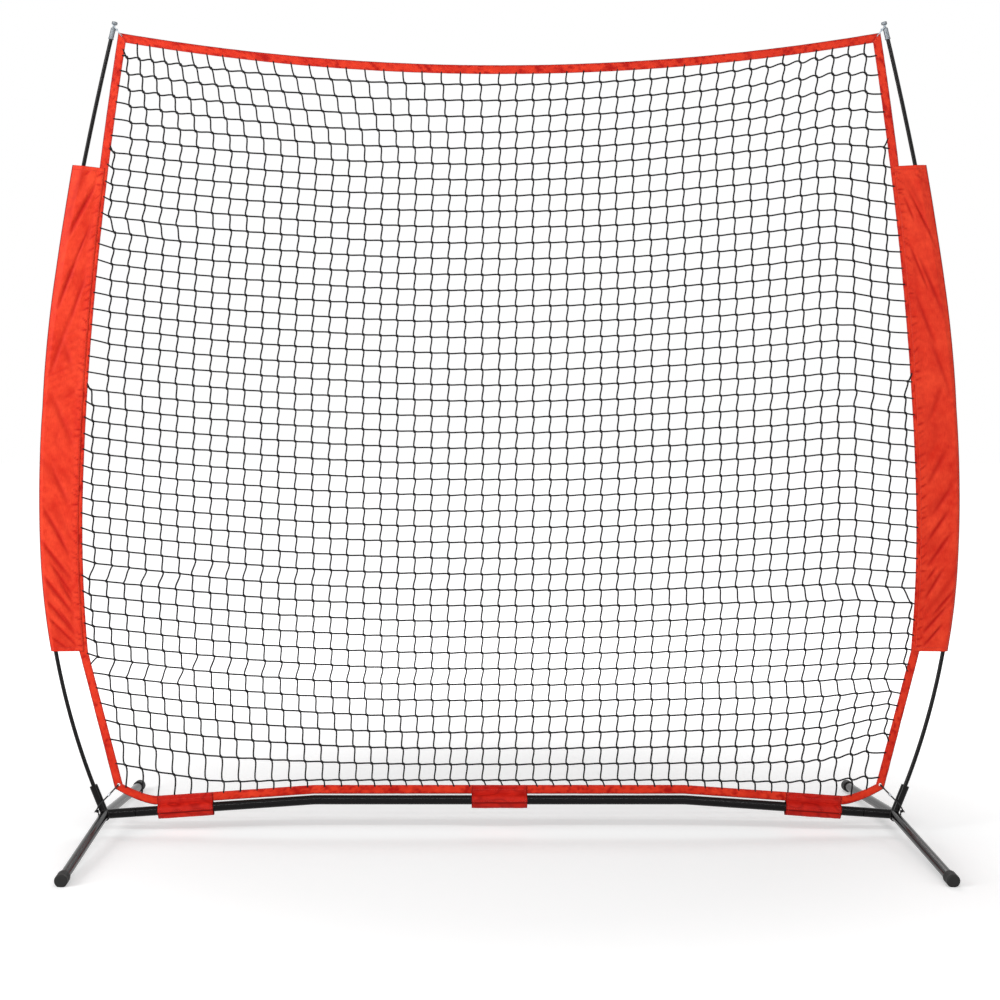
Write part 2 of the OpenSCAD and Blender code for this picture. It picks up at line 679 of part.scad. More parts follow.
// Strip of even thickness along a path of points in a plane.
module strip(path, t) {
    last = len(path) - 1;
    normals = [for (i = [0:last]) let (
        d = path[min(i + 1, last)] - path[max(i - 1, 0)], n = [-d[1], d[0]] / norm(d)) n * t / 2];
    polygon(concat([for (i = [0:last]) path[i] + normals[i]],
        [for (i = [last:-1:0]) path[i] - normals[i]]));
}

// Extrudes a flap's section along the bar, with the section's x to the rear.
module along_bar(x) {
    tilt = x == 0 ? 0 : bar_rise;
    translate([x, 0, bar_z(x)]) rotate([0, tilt, 0]) translate([-flap_l / 2, 0, 0])
        rotate([90, 0, 90]) linear_extrude(flap_l) children();
}

// Back half of a flap: sewn behind the border, round the bar and up its front.
module flap_back(side) {
    start = [flap_y, hinge_z];
    wrap_end = 150 - 360;
    path = concat([[flap_y, hinge_z + border_w / 2]], [start],
        arc_points(flap_back_r, tangent_angle(start, flap_back_r, -1), wrap_end));
    color(red_fabric) mirrored(side) along_bar(abs(side) * flap_x) strip(path, flap_t);
}

// Front half of a flap: it hangs from the border over the front of the bar.
module flap_front(side) {
    start = [-flap_y, hinge_z];
    lip_angle = 200;
    path = concat([start],
        arc_points(flap_front_r, tangent_angle(start, flap_front_r, 1), lip_angle));
    color(red_fabric) mirrored(side) along_bar(abs(side) * flap_x) strip(path, flap_t);
}

// Tube swept along a route, with each ring square to the route at its point.
module swept_tube(route, d, sides) {
    last = len(route) - 1;
    function unit(v) = v / norm(v);
    function along(i) = unit(route[min(i + 1, last)] - route[max(i - 1, 0)]);
    // The first side of each ring is carried over from the ring before it.
    function side_of(i) = i == 0 ? unit(cross(along(0), [0, 0, 1]))
        : let (s = side_of(i - 1), t = along(i)) unit(s - (s * t) * t);
    points = [for (i = [0:last]) let (t = along(i), s = side_of(i), w = cross(t, s))
        for (j = [0:sides - 1]) route[i] + d / 2 * (s * cos(j * 360 / sides) + w * sin(j * 360 / sides))];
    function at(i, j) = i * sides + j % sides;
    faces = concat(
        [[for (j = [sides - 1:-1:0]) at(0, j)]],
        [for (i = [0:last - 1], j = [0:sides - 1]) each [
            [at(i, j), at(i, j + 1), at(i + 1, j + 1)], [at(i, j), at(i + 1, j + 1), at(i + 1, j)]]],
        [[for (j = [0:sides - 1]) at(last, j)]]);
    polyhedron(points, [for (f = faces) [for (k = [len(f) - 1:-1:0]) f[k]]], convexity = 8);
}

module bungee(side) {
    color(black_twine) mirrored(side) swept_tube(bungee_route, bungee_d, 8);
}

// Clamp round the two strands of the bungee's loop.
module bungee_crimp(side) {
    strand_gap = 4.6;
    bore = bungee_d + 0.4;
    wall = 1;
    color(bright_steel) mirrored(side) translate(crimp_at) rotate([0, crimp_turn + 90, 0])
        rotate([crimp_lean, 0, 0]) linear_extrude(crimp_l, center = true) difference() {
            union() {
                for (s = [-1, 1]) translate([0, s * strand_gap / 2]) circle(d = bore + 2 * wall);
                square([bore + 2 * wall, strand_gap], center = true);
            }
            for (s = [-1, 1]) translate([0, s * strand_gap / 2]) circle(d = bore);
            square([bore, strand_gap], center = true);
        }
}

// Wire hook: a shank with an open eye above it and a bend round the leg's underside.
module bungee_hook(side) {
    shank_l = hook_top - hook_z;
    $fn = 48;
    color(steel) mirrored(side) translate([hub_x + hook_r, hook_y, hook_z]) {
        cylinder(h = shank_l, d = wire_d);
        translate([0, 0, shank_l]) wire_bend(eye_r, 200, wire_d);
        rotate([0, 180, 0]) wire_bend(hook_r, 150, wire_d);
    }
}

leg_tube(-1);  // leg_tube_left
leg_tube(1);  // leg_tube_right
foot(-1, -1);  // foot_front_left
foot(1, -1);  // foot_front_right
foot(-1, 1);  // foot_rear_left
foot(1, 1);  // foot_rear_right
bar_stub(-1);  // bar_stub_left
bar_stub(1);  // bar_stub_right
half_bar(-1);  // half_bar_left
half_bar(1);  // half_bar_right
mirrored(-1) at_side_seam() snap_spring();  // snap_spring_left
at_side_seam() snap_spring();  // snap_spring_right
at_middle_seam() snap_spring();  // snap_spring_middle
mirrored(-1) at_side_seam() snap_button();  // snap_button_left
at_side_seam() snap_button();  // snap_button_right
at_middle_seam() snap_button();  // snap_button_middle
pole_socket(-1);  // pole_socket_left
pole_socket(1);  // pole_socket_right
socket_bush(-1);  // socket_bush_left
socket_bush(1);  // socket_bush_right
pole_section(-1, 0);  // pole_lower_left
pole_section(1, 0);  // pole_lower_right
pole_section(-1, 1);  // pole_middle_left
pole_section(1, 1);  // pole_middle_right
pole_section(-1, 2);  // pole_upper_left
pole_section(1, 2);  // pole_upper_right
ferrule(-1, 1);  // ferrule_lower_left
ferrule(1, 1);  // ferrule_lower_right
ferrule(-1, 2);  // ferrule_upper_left
ferrule(1, 2);  // ferrule_upper_right
top_cap(-1);  // top_cap_left
top_cap(1);  // top_cap_right
top_loop(-1);  // top_loop_left
top_loop(1);  // top_loop_right
border_top();
border_bottom();
border_side(-1);  // border_left
border_side(1);  // border_right
net();
sleeve(-1);  // sleeve_left
sleeve(1);  // sleeve_right
flap_back(-1);  // flap_back_left
flap_back(1);  // flap_back_right
flap_back(0);  // flap_back_middle
flap_front(-1);  // flap_front_left
flap_front(1);  // flap_front_right
flap_front(0);  // flap_front_middle
bungee(-1);  // bungee_left
bungee(1);  // bungee_right
bungee_crimp(-1);  // bungee_crimp_left
bungee_crimp(1);  // bungee_crimp_right
bungee_hook(-1);  // bungee_hook_left
bungee_hook(1);  // bungee_hook_right
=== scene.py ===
"""Looks of a bow-frame practice net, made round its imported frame.

Everything is in metres in the frame's own axes: X along the crossbar, Y to the rear, Z up.
"""

import random
from functools import partial
from math import acos, atan, atan2, ceil, copysign, cos, exp, hypot, pi, radians, sin, sqrt, tan

import bmesh
import bpy
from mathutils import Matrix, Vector, noise


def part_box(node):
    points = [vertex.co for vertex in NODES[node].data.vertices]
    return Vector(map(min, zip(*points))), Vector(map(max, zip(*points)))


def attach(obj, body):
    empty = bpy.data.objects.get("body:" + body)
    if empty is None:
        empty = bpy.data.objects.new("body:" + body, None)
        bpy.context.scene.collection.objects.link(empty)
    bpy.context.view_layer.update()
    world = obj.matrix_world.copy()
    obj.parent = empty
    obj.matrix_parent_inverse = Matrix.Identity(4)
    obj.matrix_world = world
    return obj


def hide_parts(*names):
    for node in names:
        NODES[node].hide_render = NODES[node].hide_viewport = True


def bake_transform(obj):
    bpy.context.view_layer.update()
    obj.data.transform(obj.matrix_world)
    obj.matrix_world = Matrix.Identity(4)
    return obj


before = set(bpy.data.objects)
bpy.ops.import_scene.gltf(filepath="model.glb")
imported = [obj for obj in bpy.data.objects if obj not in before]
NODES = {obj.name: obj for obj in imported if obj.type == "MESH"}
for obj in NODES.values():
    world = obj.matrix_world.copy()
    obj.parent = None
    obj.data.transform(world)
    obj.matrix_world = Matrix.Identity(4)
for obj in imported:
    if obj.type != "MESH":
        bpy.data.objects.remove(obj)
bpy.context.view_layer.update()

MM = 0.001
SIDES = (("left", -1), ("right", 1))

# -------- sizes

# Read from the frame
leg_low, leg_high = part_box("leg_tube_right")
TUBE_R = (leg_high.x - leg_low.x) / 2
HUB = Vector(((leg_low.x + leg_high.x) / 2, 0, leg_high.z - TUBE_R))
BAR_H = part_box("half_bar_right")[1].z - TUBE_R
top_low, top_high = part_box("border_top")
TOP_CORNER = Vector((top_high.x, 0, top_high.z))
BORDER_T = top_high.y - top_low.y
SIDE_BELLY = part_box("border_right")[1].x
SLEEVE_LOW, SLEEVE_HIGH = (corner.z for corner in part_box("sleeve_right"))

# Driving dimensions of the construction that the looks follow
BAR_BEND_X = 500 * MM
SOCKET_TILT = radians(22.1)
SOCKET_L = 84 * MM
SOCKET_R = 11 * MM
POLE_SEAT = 20 * MM
SECTION_L = 715 * MM
TURNS = [radians(turn) for turn in (20.7, 11.8, 3.9)]
BORDER_W = 24 * MM
BORDER_RISE = 28 * MM
BELLY_DROP = 75 * MM
LOW_CORNER = Vector((HUB.x - 27 * MM, 0, 120 * MM))
SIDE_TUCK = 15 * MM
FLAP_L = 150 * MM
FLAP_X = HUB.x - 219 * MM
SLEEVE_EDGE = 30 * MM
CAP_NECK_Z = 6.3 * MM
CAP_NECK_R = 3.5 * MM
LOOP_D = 2.5 * MM
LOOP_KNOT = 2.9 * MM
BUNGEE_D = 4 * MM
BUNGEE_KNOT = 3.4 * MM
TOP_EYELET_IN = 9 * MM
TOP_EYELET_D = 3.5 * MM
LOW_EYELET = Vector((HUB.x - 37 * MM, 0, 131 * MM))
LOW_EYELET_D = 8 * MM

# Net and cloth
NET_HALF_COLS = 24.5
NET_ROWS = 46
STRAND_D = 4.6 * MM
JOINT_D = 7.6 * MM
JOINT_L = 3.6 * MM
JOINT_OVERLAP = 3.8 * MM
JOINT_LEAN = Vector((-0.93, 0, 0.37))   # way from a joint's middle to its upper end
SLACK_LEAN = Vector((-0.6, 0, 0.8))     # the same where the net is slack
BAND_T = 3.6 * MM
CLOTH_T = 0.6 * MM
HEM = 14 * MM
SLEEVE_LAP = 14 * MM      # of a sleeve over the border
LAP_Y = 2.8 * MM          # of a sleeve's lap from the net's plane
WRAP_R = 8.3 * MM         # of a sleeve round its pole
SLEEVE_POINTS = 24        # between border and pole
STITCH_LIFT = 0.16 * MM
STITCH_PITCH = 4.4 * MM
STITCH_L = 3.4 * MM
STITCH_W = 0.8 * MM


# -------- colours and materials

def srgb(code):
    """Linear colour of an sRGB hex value."""
    parts = [int(code[i:i + 2], 16) / 255 for i in (0, 2, 4)]
    return [p / 12.92 if p <= 0.04045 else ((p + 0.055) / 1.055) ** 2.4 for p in parts] + [1]


def add(tree, kind, inputs=None, **settings):
    """Adds a node with its settings; an input is a value, an output or a node's first output."""
    made = tree.nodes.new(kind)
    for name, value in settings.items():
        setattr(made, name, value)
    for socket, value in (inputs or {}).items():
        if isinstance(value, bpy.types.Node):
            value = value.outputs[0]
        if isinstance(value, bpy.types.NodeSocket):
            tree.links.new(value, made.inputs[socket])
        else:
            made.inputs[socket].default_value = value
    return made


def new_material(name):
    """Material with an empty tree, and what adds nodes to it."""
    material = bpy.data.materials.new(name)
    material.use_nodes = True
    material.node_tree.nodes.clear()
    return material, partial(add, material.node_tree)


def grains(put, size, detail=2.0, stretch=(1, 1, 1)):
    """Noise on object coordinates with grains of a real size, in metres."""
    place = put("ShaderNodeTexCoord").outputs["Object"]
    spread = put("ShaderNodeMapping",
                 {"Vector": place, "Scale": [1 / (size * s) for s in stretch]})
    return put("ShaderNodeTexNoise", {"Vector": spread, "Scale": 1.0, "Detail": detail})


def wave(put, place, length):
    """Sine wave over a place, a length from crest to crest."""
    turn = put("ShaderNodeMath", {0: place, 1: 2 * pi / length}, operation="MULTIPLY")
    return put("ShaderNodeMath", {0: turn}, operation="SINE")


def end_material(put, colour, rough, height, depth, strength=1.0, **look):
    """Adds relief, shader and output. Look names more of the shader's inputs, _ for a space."""
    relief = put("ShaderNodeBump", {"Height": height, "Distance": depth, "Strength": strength})
    more = {name.replace("_", " "): value for name, value in look.items()}
    shader = put("ShaderNodeBsdfPrincipled", {
        "Base Color": colour, "Roughness": rough, "Normal": relief, **more})
    put("ShaderNodeOutputMaterial", {"Surface": shader})


def plain_finish(name, tone, colours, gloss, rough, relief, depth, strength=1.0, **look):
    """Finish whose tone, gloss and relief follow grains, each by size, detail and stretch."""
    material, put = new_material(name)
    dark, light = (srgb(code) for code in colours)
    colour = put("ShaderNodeMix", {0: grains(put, *tone), 6: dark, 7: light}, data_type="RGBA")
    shine = put("ShaderNodeMapRange", {
        "Value": grains(put, *gloss), "To Min": rough[0], "To Max": rough[1]})
    end_material(put, colour.outputs[2], shine, grains(put, *relief), depth, strength, **look)
    return material


def woven_oxford(name, dark, light, valley_shade, edge, worn):
    """Coated polyester oxford: plain weave, satin sheen, with painted shade: deeper red down in
    folds and dark brown along rolled edges.
    """
    material, put = new_material(name)
    cloth = put("ShaderNodeUVMap", uv_map="cloth")
    place = put("ShaderNodeSeparateXYZ", {"Vector": cloth})
    # Real threads lie 0.35 mm apart; they are drawn 1.2 mm apart, the finest that still shows
    thread = 1.2 * MM
    across, along = (wave(put, place.outputs[axis], thread) for axis in ("X", "Y"))
    weave = put("ShaderNodeMath", {0: across, 1: along}, operation="MULTIPLY")
    spread = put("ShaderNodeMapping", {"Vector": cloth, "Scale": (700, 60, 1)})
    slubs = put("ShaderNodeTexNoise", {
        "Vector": spread, "Scale": 1.0, "Detail": 2.0}).outputs["Fac"]
    mottle = grains(put, 16 * MM, 3.0)
    cloud = put("ShaderNodeMix", {0: 0.4, 2: grains(put, 90 * MM, 4.0), 3: mottle},
                data_type="FLOAT")
    cloud = put("ShaderNodeMix", {0: 0.25, 2: cloud, 3: slubs}, data_type="FLOAT")
    tone = put("ShaderNodeMapRange", {"Value": cloud, "From Min": 0.36, "From Max": 0.64})
    colour = put("ShaderNodeMix", {0: tone, 6: srgb(dark), 7: srgb(light)},
                 data_type="RGBA").outputs[2]
    # The painted-shade attribute read here is 0 on open cloth, 0.5 down in a fold and 1 on a
    # rolled edge: it paints the fold shade and the dark edge shade
    crease = put("ShaderNodeAttribute", attribute_name="crease").outputs["Fac"]
    for low, high, shade in ((0.0, 0.5, valley_shade), (0.5, 1.0, edge)):
        share = put("ShaderNodeMapRange", {"Value": crease, "From Min": low, "From Max": high})
        colour = put("ShaderNodeMix", {0: share, 6: colour, 7: srgb(shade)},
                     data_type="RGBA").outputs[2]
    rough = put("ShaderNodeMapRange", {"Value": tone, "To Min": 0.4, "To Max": 0.58})
    height = put("ShaderNodeMath", {0: weave, 1: 0.04, 2: mottle}, operation="MULTIPLY_ADD")
    end_material(put, colour, rough, height, 1.2 * MM, 0.8, Specular_IOR_Level=0.14,
                 Sheen_Weight=0.03, Sheen_Roughness=0.4, Sheen_Tint=srgb(worn))
    return material


def braided(name, dark, light, pick, depth, rough):
    """Braided cord: strands cross in two directions round it, a pick apart."""
    material, put = new_material(name)
    cloth = put("ShaderNodeUVMap", uv_map="cloth")
    place = put("ShaderNodeSeparateXYZ", {"Vector": cloth})
    waves = []
    for kind in ("ADD", "SUBTRACT"):
        slant = put("ShaderNodeMath", {0: place.outputs["X"], 1: place.outputs["Y"]},
                    operation=kind)
        waves.append(wave(put, slant, pick))
    lay = put("ShaderNodeMath", {0: waves[0], 1: waves[1]}, operation="MAXIMUM")
    height = put("ShaderNodeMapRange", {"Value": lay, "From Min": -1.0})
    # Painted shade: the cord is darker in the grooves between its strands
    tone = put("ShaderNodeMix", {0: height, 6: srgb(dark), 7: srgb(light)}, data_type="RGBA")
    end_material(put, tone.outputs[2], rough, height, depth, Specular_IOR_Level=0.3)
    return material


def net_twine():
    """Knotless net twine, tarred black polyester: matt, with a chain of plies along it."""
    material, put = new_material("knotless_twine")
    along = put("ShaderNodeAttribute", attribute_name="along").outputs["Fac"]
    around = put("ShaderNodeAttribute", attribute_name="around").outputs["Fac"]
    # Plies cross the strand every 3 mm
    turn = put("ShaderNodeMath", {0: along, 1: 2 * pi / (3 * MM)}, operation="MULTIPLY")
    twist = put("ShaderNodeMath", {0: around, 1: 4 * pi, 2: turn}, operation="MULTIPLY_ADD")
    ply = put("ShaderNodeMath", {0: twist}, operation="SINE")
    height = put("ShaderNodeMapRange", {"Value": ply, "From Min": -1.0})
    # Painted shade: the twine is darker in the grooves between plies
    tone = put("ShaderNodeMix", {0: height, 6: srgb("08080a"), 7: srgb("18171a")},
               data_type="RGBA")
    rough = put("ShaderNodeMapRange", {
        "Value": grains(put, 30 * MM), "To Min": 0.6, "To Max": 0.75})
    end_material(put, tone.outputs[2], rough, height, 0.35 * MM, Specular_IOR_Level=0.2)
    return material


# Powder coat on steel tube: black, with a clear gloss, rub marks and an orange peel of 1.6 mm
STEEL = plain_finish(
    "powder_coated_steel", (60 * MM, 4.0), ("080708", "110f10"), (25 * MM, 5.0), (0.1, 0.22),
    (1.6 * MM, 1.0), 0.03 * MM, 0.4, Specular_IOR_Level=0.14)
# Weld bead under the same powder coat: softer gloss, coarser skin
WELD = plain_finish(
    "powder_coated_weld", (6 * MM,), ("0d0c0d", "1a1818"), (4 * MM, 3.0), (0.28, 0.5),
    (1.2 * MM,), 0.08 * MM, Specular_IOR_Level=0.25)
# Moulded EPDM foot: matt black with a fine grain and pale dust on it
DUST = (9 * MM, 6.0)
RUBBER = plain_finish(
    "moulded_rubber", DUST, ("0f0f0f", "1f1e1d"), DUST, (0.55, 0.8),
    (0.8 * MM,), 0.06 * MM, Specular_IOR_Level=0.35)
# Zinc plate on spring strip, button and ferrule: cool grey metal, faintly mottled
BLOOM = (5 * MM, 4.0)
ZINC = plain_finish(
    "zinc_plated_steel", BLOOM, ("9a9da1", "c2c5c9"), BLOOM, (0.22, 0.4),
    (0.7 * MM,), 0.02 * MM, Metallic=1.0)
# Glass-fibre rod, black gel finish: glossy, with fibre streaks 0.8 mm wide and 80 mm long
STREAKS = (0.8 * MM, 3.0, (1, 1, 100))
GLASS_FIBRE = plain_finish(
    "pultruded_glass_fibre", STREAKS, ("060506", "100e0f"), STREAKS, (0.1, 0.22),
    STREAKS, 0.03 * MM, 0.6, Specular_IOR_Level=0.14)
# Nylon socket liner: black, satin, lightly grained
NYLON = plain_finish(
    "moulded_nylon", (4 * MM, 3.0), ("1b1b1d", "29292b"), (4 * MM, 3.0), (0.45, 0.45),
    (0.5 * MM,), 0.02 * MM)
# Turned aluminium cap, close to upright: dull grey metal with tool marks 0.6 mm apart along it
MARKS = (0.6 * MM, 1.0, (30, 30, 1))
ALUMINIUM = plain_finish(
    "turned_aluminium", (3 * MM, 4.0), ("55595d", "82878b"), MARKS, (0.32, 0.55),
    MARKS, 0.04 * MM, Metallic=1.0)
# Bonded polyester thread, red: twisted, with a slight sheen
THREAD = plain_finish(
    "sewing_thread", (1.5 * MM,), ("b82010", "dc3a22"), (1.5 * MM,), (0.5, 0.5),
    (0.4 * MM, 1.0), 0.05 * MM, Sheen_Weight=0.2)
# In each cloth the third and fourth colours are painted shade, down in folds and along edges
SLEEVE_CLOTH = woven_oxford("sleeve_oxford", "d22410", "f2492a", "b40800", "562418", "ff9a7a")
BORDER_CLOTH = woven_oxford("border_oxford", "ce2410", "ee4224", "b00800", "5c2016", "ff8a6a")
FLAP_CLOTH = woven_oxford("flap_oxford", "b60f08", "da2a1a", "960300", "4e0a04", "ff7a5e")
TWINE = net_twine()
BUNGEE = braided("braided_bungee", "0c0c0d", "242426", 1.6 * MM, 0.3 * MM, 0.65)
LOOP_CORD = braided("braided_polyester", "9fb0bf", "dbe4ea", 1.0 * MM, 0.2 * MM, 0.6)


# -------- the construction's rules

BAR_RISE = atan((BAR_H - HUB.z) / (HUB.x - BAR_BEND_X))


def bar_z(x):
    """Height of the crossbar's centre."""
    return BAR_H - max(0, abs(x) - BAR_BEND_X) * tan(BAR_RISE)


def heading(a):
    """Way that leans outwards from upright by an angle."""
    return Vector((sin(a), 0, cos(a)))


def outward(a):
    """Way square to a heading, outwards."""
    return Vector((cos(a), 0, -sin(a)))


def pole_arcs():
    """Centre, radius and first and last heading of each pole section on the right."""
    middle = (POLE_SEAT + SOCKET_L) / 2
    radii = [SECTION_L / turn for turn in TURNS]
    angle = SOCKET_TILT + TURNS[0] * (middle - POLE_SEAT) / SECTION_L
    centre = HUB + middle * heading(SOCKET_TILT) - radii[0] * outward(SOCKET_TILT)
    arcs = []
    for k, turn in enumerate(TURNS):
        arcs.append((centre, radii[k], angle, angle - turn))
        angle -= turn
        if k < 2:
            centre = centre + (radii[k] - radii[k + 1]) * outward(angle)
    return arcs


ARCS = pole_arcs()
TIP_ANGLE = ARCS[2][3]
POLE_TIP = ARCS[2][0] + ARCS[2][1] * outward(TIP_ANGLE)


def pole_x(z):
    """Distance from the middle plane to the pole's centre line at a height."""
    for centre, radius, _, last in ARCS:
        if z <= (centre + radius * outward(last)).z or last == TIP_ANGLE:
            return centre.x + sqrt(radius ** 2 - (z - centre.z) ** 2)


def widest_z():
    """Height at which the pole is widest."""
    spots = [c + r * outward(max(min(0, first), last)) for c, r, first, last in ARCS]
    return max(spots, key=lambda p: p.x).z


BELLY_Z = widest_z() - BELLY_DROP


def side_x(z):
    """Outer edge of the right-hand border."""
    if z >= BELLY_Z:
        share = (z - BELLY_Z) / (TOP_CORNER.z - BELLY_Z)
        return SIDE_BELLY - (SIDE_BELLY - TOP_CORNER.x) * share ** 1.7
    if z >= SLEEVE_LOW:
        return SIDE_BELLY - SIDE_TUCK * ((BELLY_Z - z) / (BELLY_Z - SLEEVE_LOW)) ** 2
    share = (z - LOW_CORNER.z) / (SLEEVE_LOW - LOW_CORNER.z)
    return LOW_CORNER.x + (SIDE_BELLY - SIDE_TUCK - LOW_CORNER.x) * share


TOP_SAG = TOP_CORNER.z - BORDER_W - top_low.z
RUN_X = FLAP_X + FLAP_L / 2 + 5 * MM
RUN_Z = bar_z(RUN_X) + BORDER_RISE


def top_z(x):
    """Middle line of the top border."""
    return TOP_CORNER.z - BORDER_W / 2 - TOP_SAG * (1 - (x / TOP_CORNER.x) ** 2)


def low_z(x):
    """Middle line of the bottom border."""
    if abs(x) <= RUN_X:
        return bar_z(x) + BORDER_RISE
    share = (abs(x) - RUN_X) / (LOW_CORNER.x - RUN_X)
    return RUN_Z + (LOW_CORNER.z + BORDER_W / 2 - RUN_Z) * share ** 1.5


def meet(line, inset, offset, x):
    """Where a line above or below a border's middle meets a line inside the side edge."""
    for _ in range(10):
        x = side_x(line(x) + offset) - inset
    return Vector((x, 0, line(x) + offset))


# -------- mesh helpers

def new_piece(name, verts, faces, material, edges=()):
    """Mesh object with one material and smooth faces."""
    mesh = bpy.data.meshes.new(name)
    mesh.from_pydata([tuple(v) for v in verts], list(edges), faces)
    mesh.update()
    made = bpy.data.objects.new(name, mesh)
    bpy.context.scene.collection.objects.link(made)
    if material:
        mesh.materials.append(material)
    if faces:
        mesh.polygons.foreach_set("use_smooth", [True] * len(mesh.polygons))
    return made


def lofted(name, rings, material, closed=True, painted_shades=None):
    """Skin over rings of equally many points, with a cloth UV map in metres.

    Closed rings make a tube with flat ends and open ones a sheet. Creases say how much painted
    shade each point gets, from 0 on open cloth to 1 deepest in a fold or on an edge; they are
    stored for the cloth's material.
    """
    count = len(rings[0])
    verts = [p for ring in rings for p in ring]
    spans = count if closed else count - 1
    faces, uvs = [], []
    girth = [0.0]
    middle_ring = rings[len(rings) // 2]
    for k in range(count):
        girth.append(girth[-1] + (middle_ring[(k + 1) % count] - middle_ring[k]).length)
    run = 0.0
    for i in range(len(rings) - 1):
        steps = [(rings[i + 1][k] - rings[i][k]).length for k in range(0, count, 3)]
        step = sum(steps) / len(steps)
        for k in range(spans):
            q = (k + 1) % count
            faces.append((i * count + k, i * count + q, (i + 1) * count + q, (i + 1) * count + k))
            uvs += [(girth[k], run), (girth[k + 1], run),
                    (girth[k + 1], run + step), (girth[k], run + step)]
        run += step
    if closed:
        last = (len(rings) - 1) * count
        faces.append(tuple(reversed(range(count))))
        faces.append(tuple(last + k for k in range(count)))
        for ring in (list(reversed(rings[0])), rings[-1]):
            uvs += [(p.x, p.z) for p in ring]
    made = new_piece(name, verts, faces, material)
    layer = made.data.uv_layers.new(name="cloth")
    layer.data.foreach_set("uv", [value for uv in uvs for value in uv])
    if painted_shades:
        layer = made.data.attributes.new("crease", "FLOAT", "POINT")
        layer.data.foreach_set("value", [min(1, max(0, c)) for row in painted_shades for c in row])
    if closed:
        made.data.set_sharp_from_angle(angle=radians(65))
    return made


def settle(piece):
    """Makes a piece with modifiers a plain mesh."""
    depsgraph = bpy.context.evaluated_depsgraph_get()
    mesh = bpy.data.meshes.new_from_object(piece.evaluated_get(depsgraph),
                                           preserve_all_data_layers=True, depsgraph=depsgraph)
    piece.modifiers.clear()
    piece.data = mesh


def smooth_path(points, steps):
    """Catmull-Rom curve through points, with equally many steps between each pair."""
    ends = [points[0] * 2 - points[1]] + list(points) + [points[-1] * 2 - points[-2]]
    out = []
    for i in range(1, len(ends) - 2):
        a, b, c, d = ends[i - 1:i + 3]
        for k in range(steps):
            t = k / steps
            out.append(0.5 * (2 * b + (c - a) * t + (2 * a - 5 * b + 4 * c - d) * t ** 2
                              + (3 * b - a - 3 * c + d) * t ** 3))
    return out + [points[-1]]


def path_length(points):
    """Length of a path from point to point."""
    return sum((b - a).length for a, b in zip(points, points[1:]))


def evenly(points, count):
    """Points at equal steps of length along a path."""
    total = path_length(points)
    out, run, i = [points[0].copy()], 0.0, 0
    for k in range(1, count):
        target = total * k / count
        while run + (points[i + 1] - points[i]).length < target:
            run += (points[i + 1] - points[i]).length
            i += 1
        step = (points[i + 1] - points[i]).length
        out.append(points[i].lerp(points[i + 1], (target - run) / step))
    return out + [points[-1].copy()]


def tube(name, path, radius, sides, material):
    """Closed round tube along a path, with its section carried along without twist."""
    rings = []
    across = (path[1] - path[0]).orthogonal().normalized()
    for i, point in enumerate(path):
        along = (path[min(i + 1, len(path) - 1)] - path[max(i - 1, 0)]).normalized()
        across = (across - along * across.dot(along)).normalized()
        other = along.cross(across)
        rings.append([point + radius * (cos(a) * across + sin(a) * other)
                      for a in (2 * pi * k / sides for k in range(sides))])
    return lofted(name, rings, material)


def mirrored(points, side):
    """Points of the right-hand side, for either side."""
    return [Vector((side * p.x, p.y, p.z)) for p in points]


def face_outwards(piece):
    """Turns the faces of a closed mesh outwards."""
    work = bmesh.new()
    work.from_mesh(piece.data)
    bmesh.ops.recalc_face_normals(work, faces=work.faces)
    work.to_mesh(piece.data)
    work.free()


def ray(a, reach=1):
    """Point in a plane at an angle and a distance."""
    return reach * Vector((cos(a), sin(a)))


def ripple(seed, place, size):
    """Smooth noise from -1 to 1 with bumps of a size."""
    return noise.noise(Vector((place[0] / size, place[1] / size, seed * 7.31)))


def smooth_step(t):
    """From 0 to 1 as t does, level at both ends."""
    t = min(1, max(0, t))
    return t * t * (3 - 2 * t)


def bell(x, width):
    """1 at nought, falling to a third a width away."""
    return exp(-(x / width) ** 2)


# -------- geometry node trees

def new_tree(name, inputs):
    """Geometry tree with named inputs, what adds nodes to it, and what it is given."""
    tree = bpy.data.node_groups.new(name, "GeometryNodeTree")
    tree.interface.new_socket("Geometry", in_out="INPUT", socket_type="NodeSocketGeometry")
    for label, kind, value in inputs:
        socket = tree.interface.new_socket(label, in_out="INPUT", socket_type="NodeSocket" + kind)
        if value is not None:
            socket.default_value = value
    tree.interface.new_socket("Geometry", in_out="OUTPUT", socket_type="NodeSocketGeometry")
    return tree, partial(add, tree), add(tree, "NodeGroupInput").outputs


def end_tree(put, geometry, material):
    """Realizes the instances, sets the material and closes the tree."""
    real = put("GeometryNodeRealizeInstances", {"Geometry": geometry})
    smooth = put("GeometryNodeSetShadeSmooth", {"Geometry": real})
    painted = put("GeometryNodeSetMaterial", {"Geometry": smooth, "Material": material})
    put("NodeGroupOutput", {0: painted})


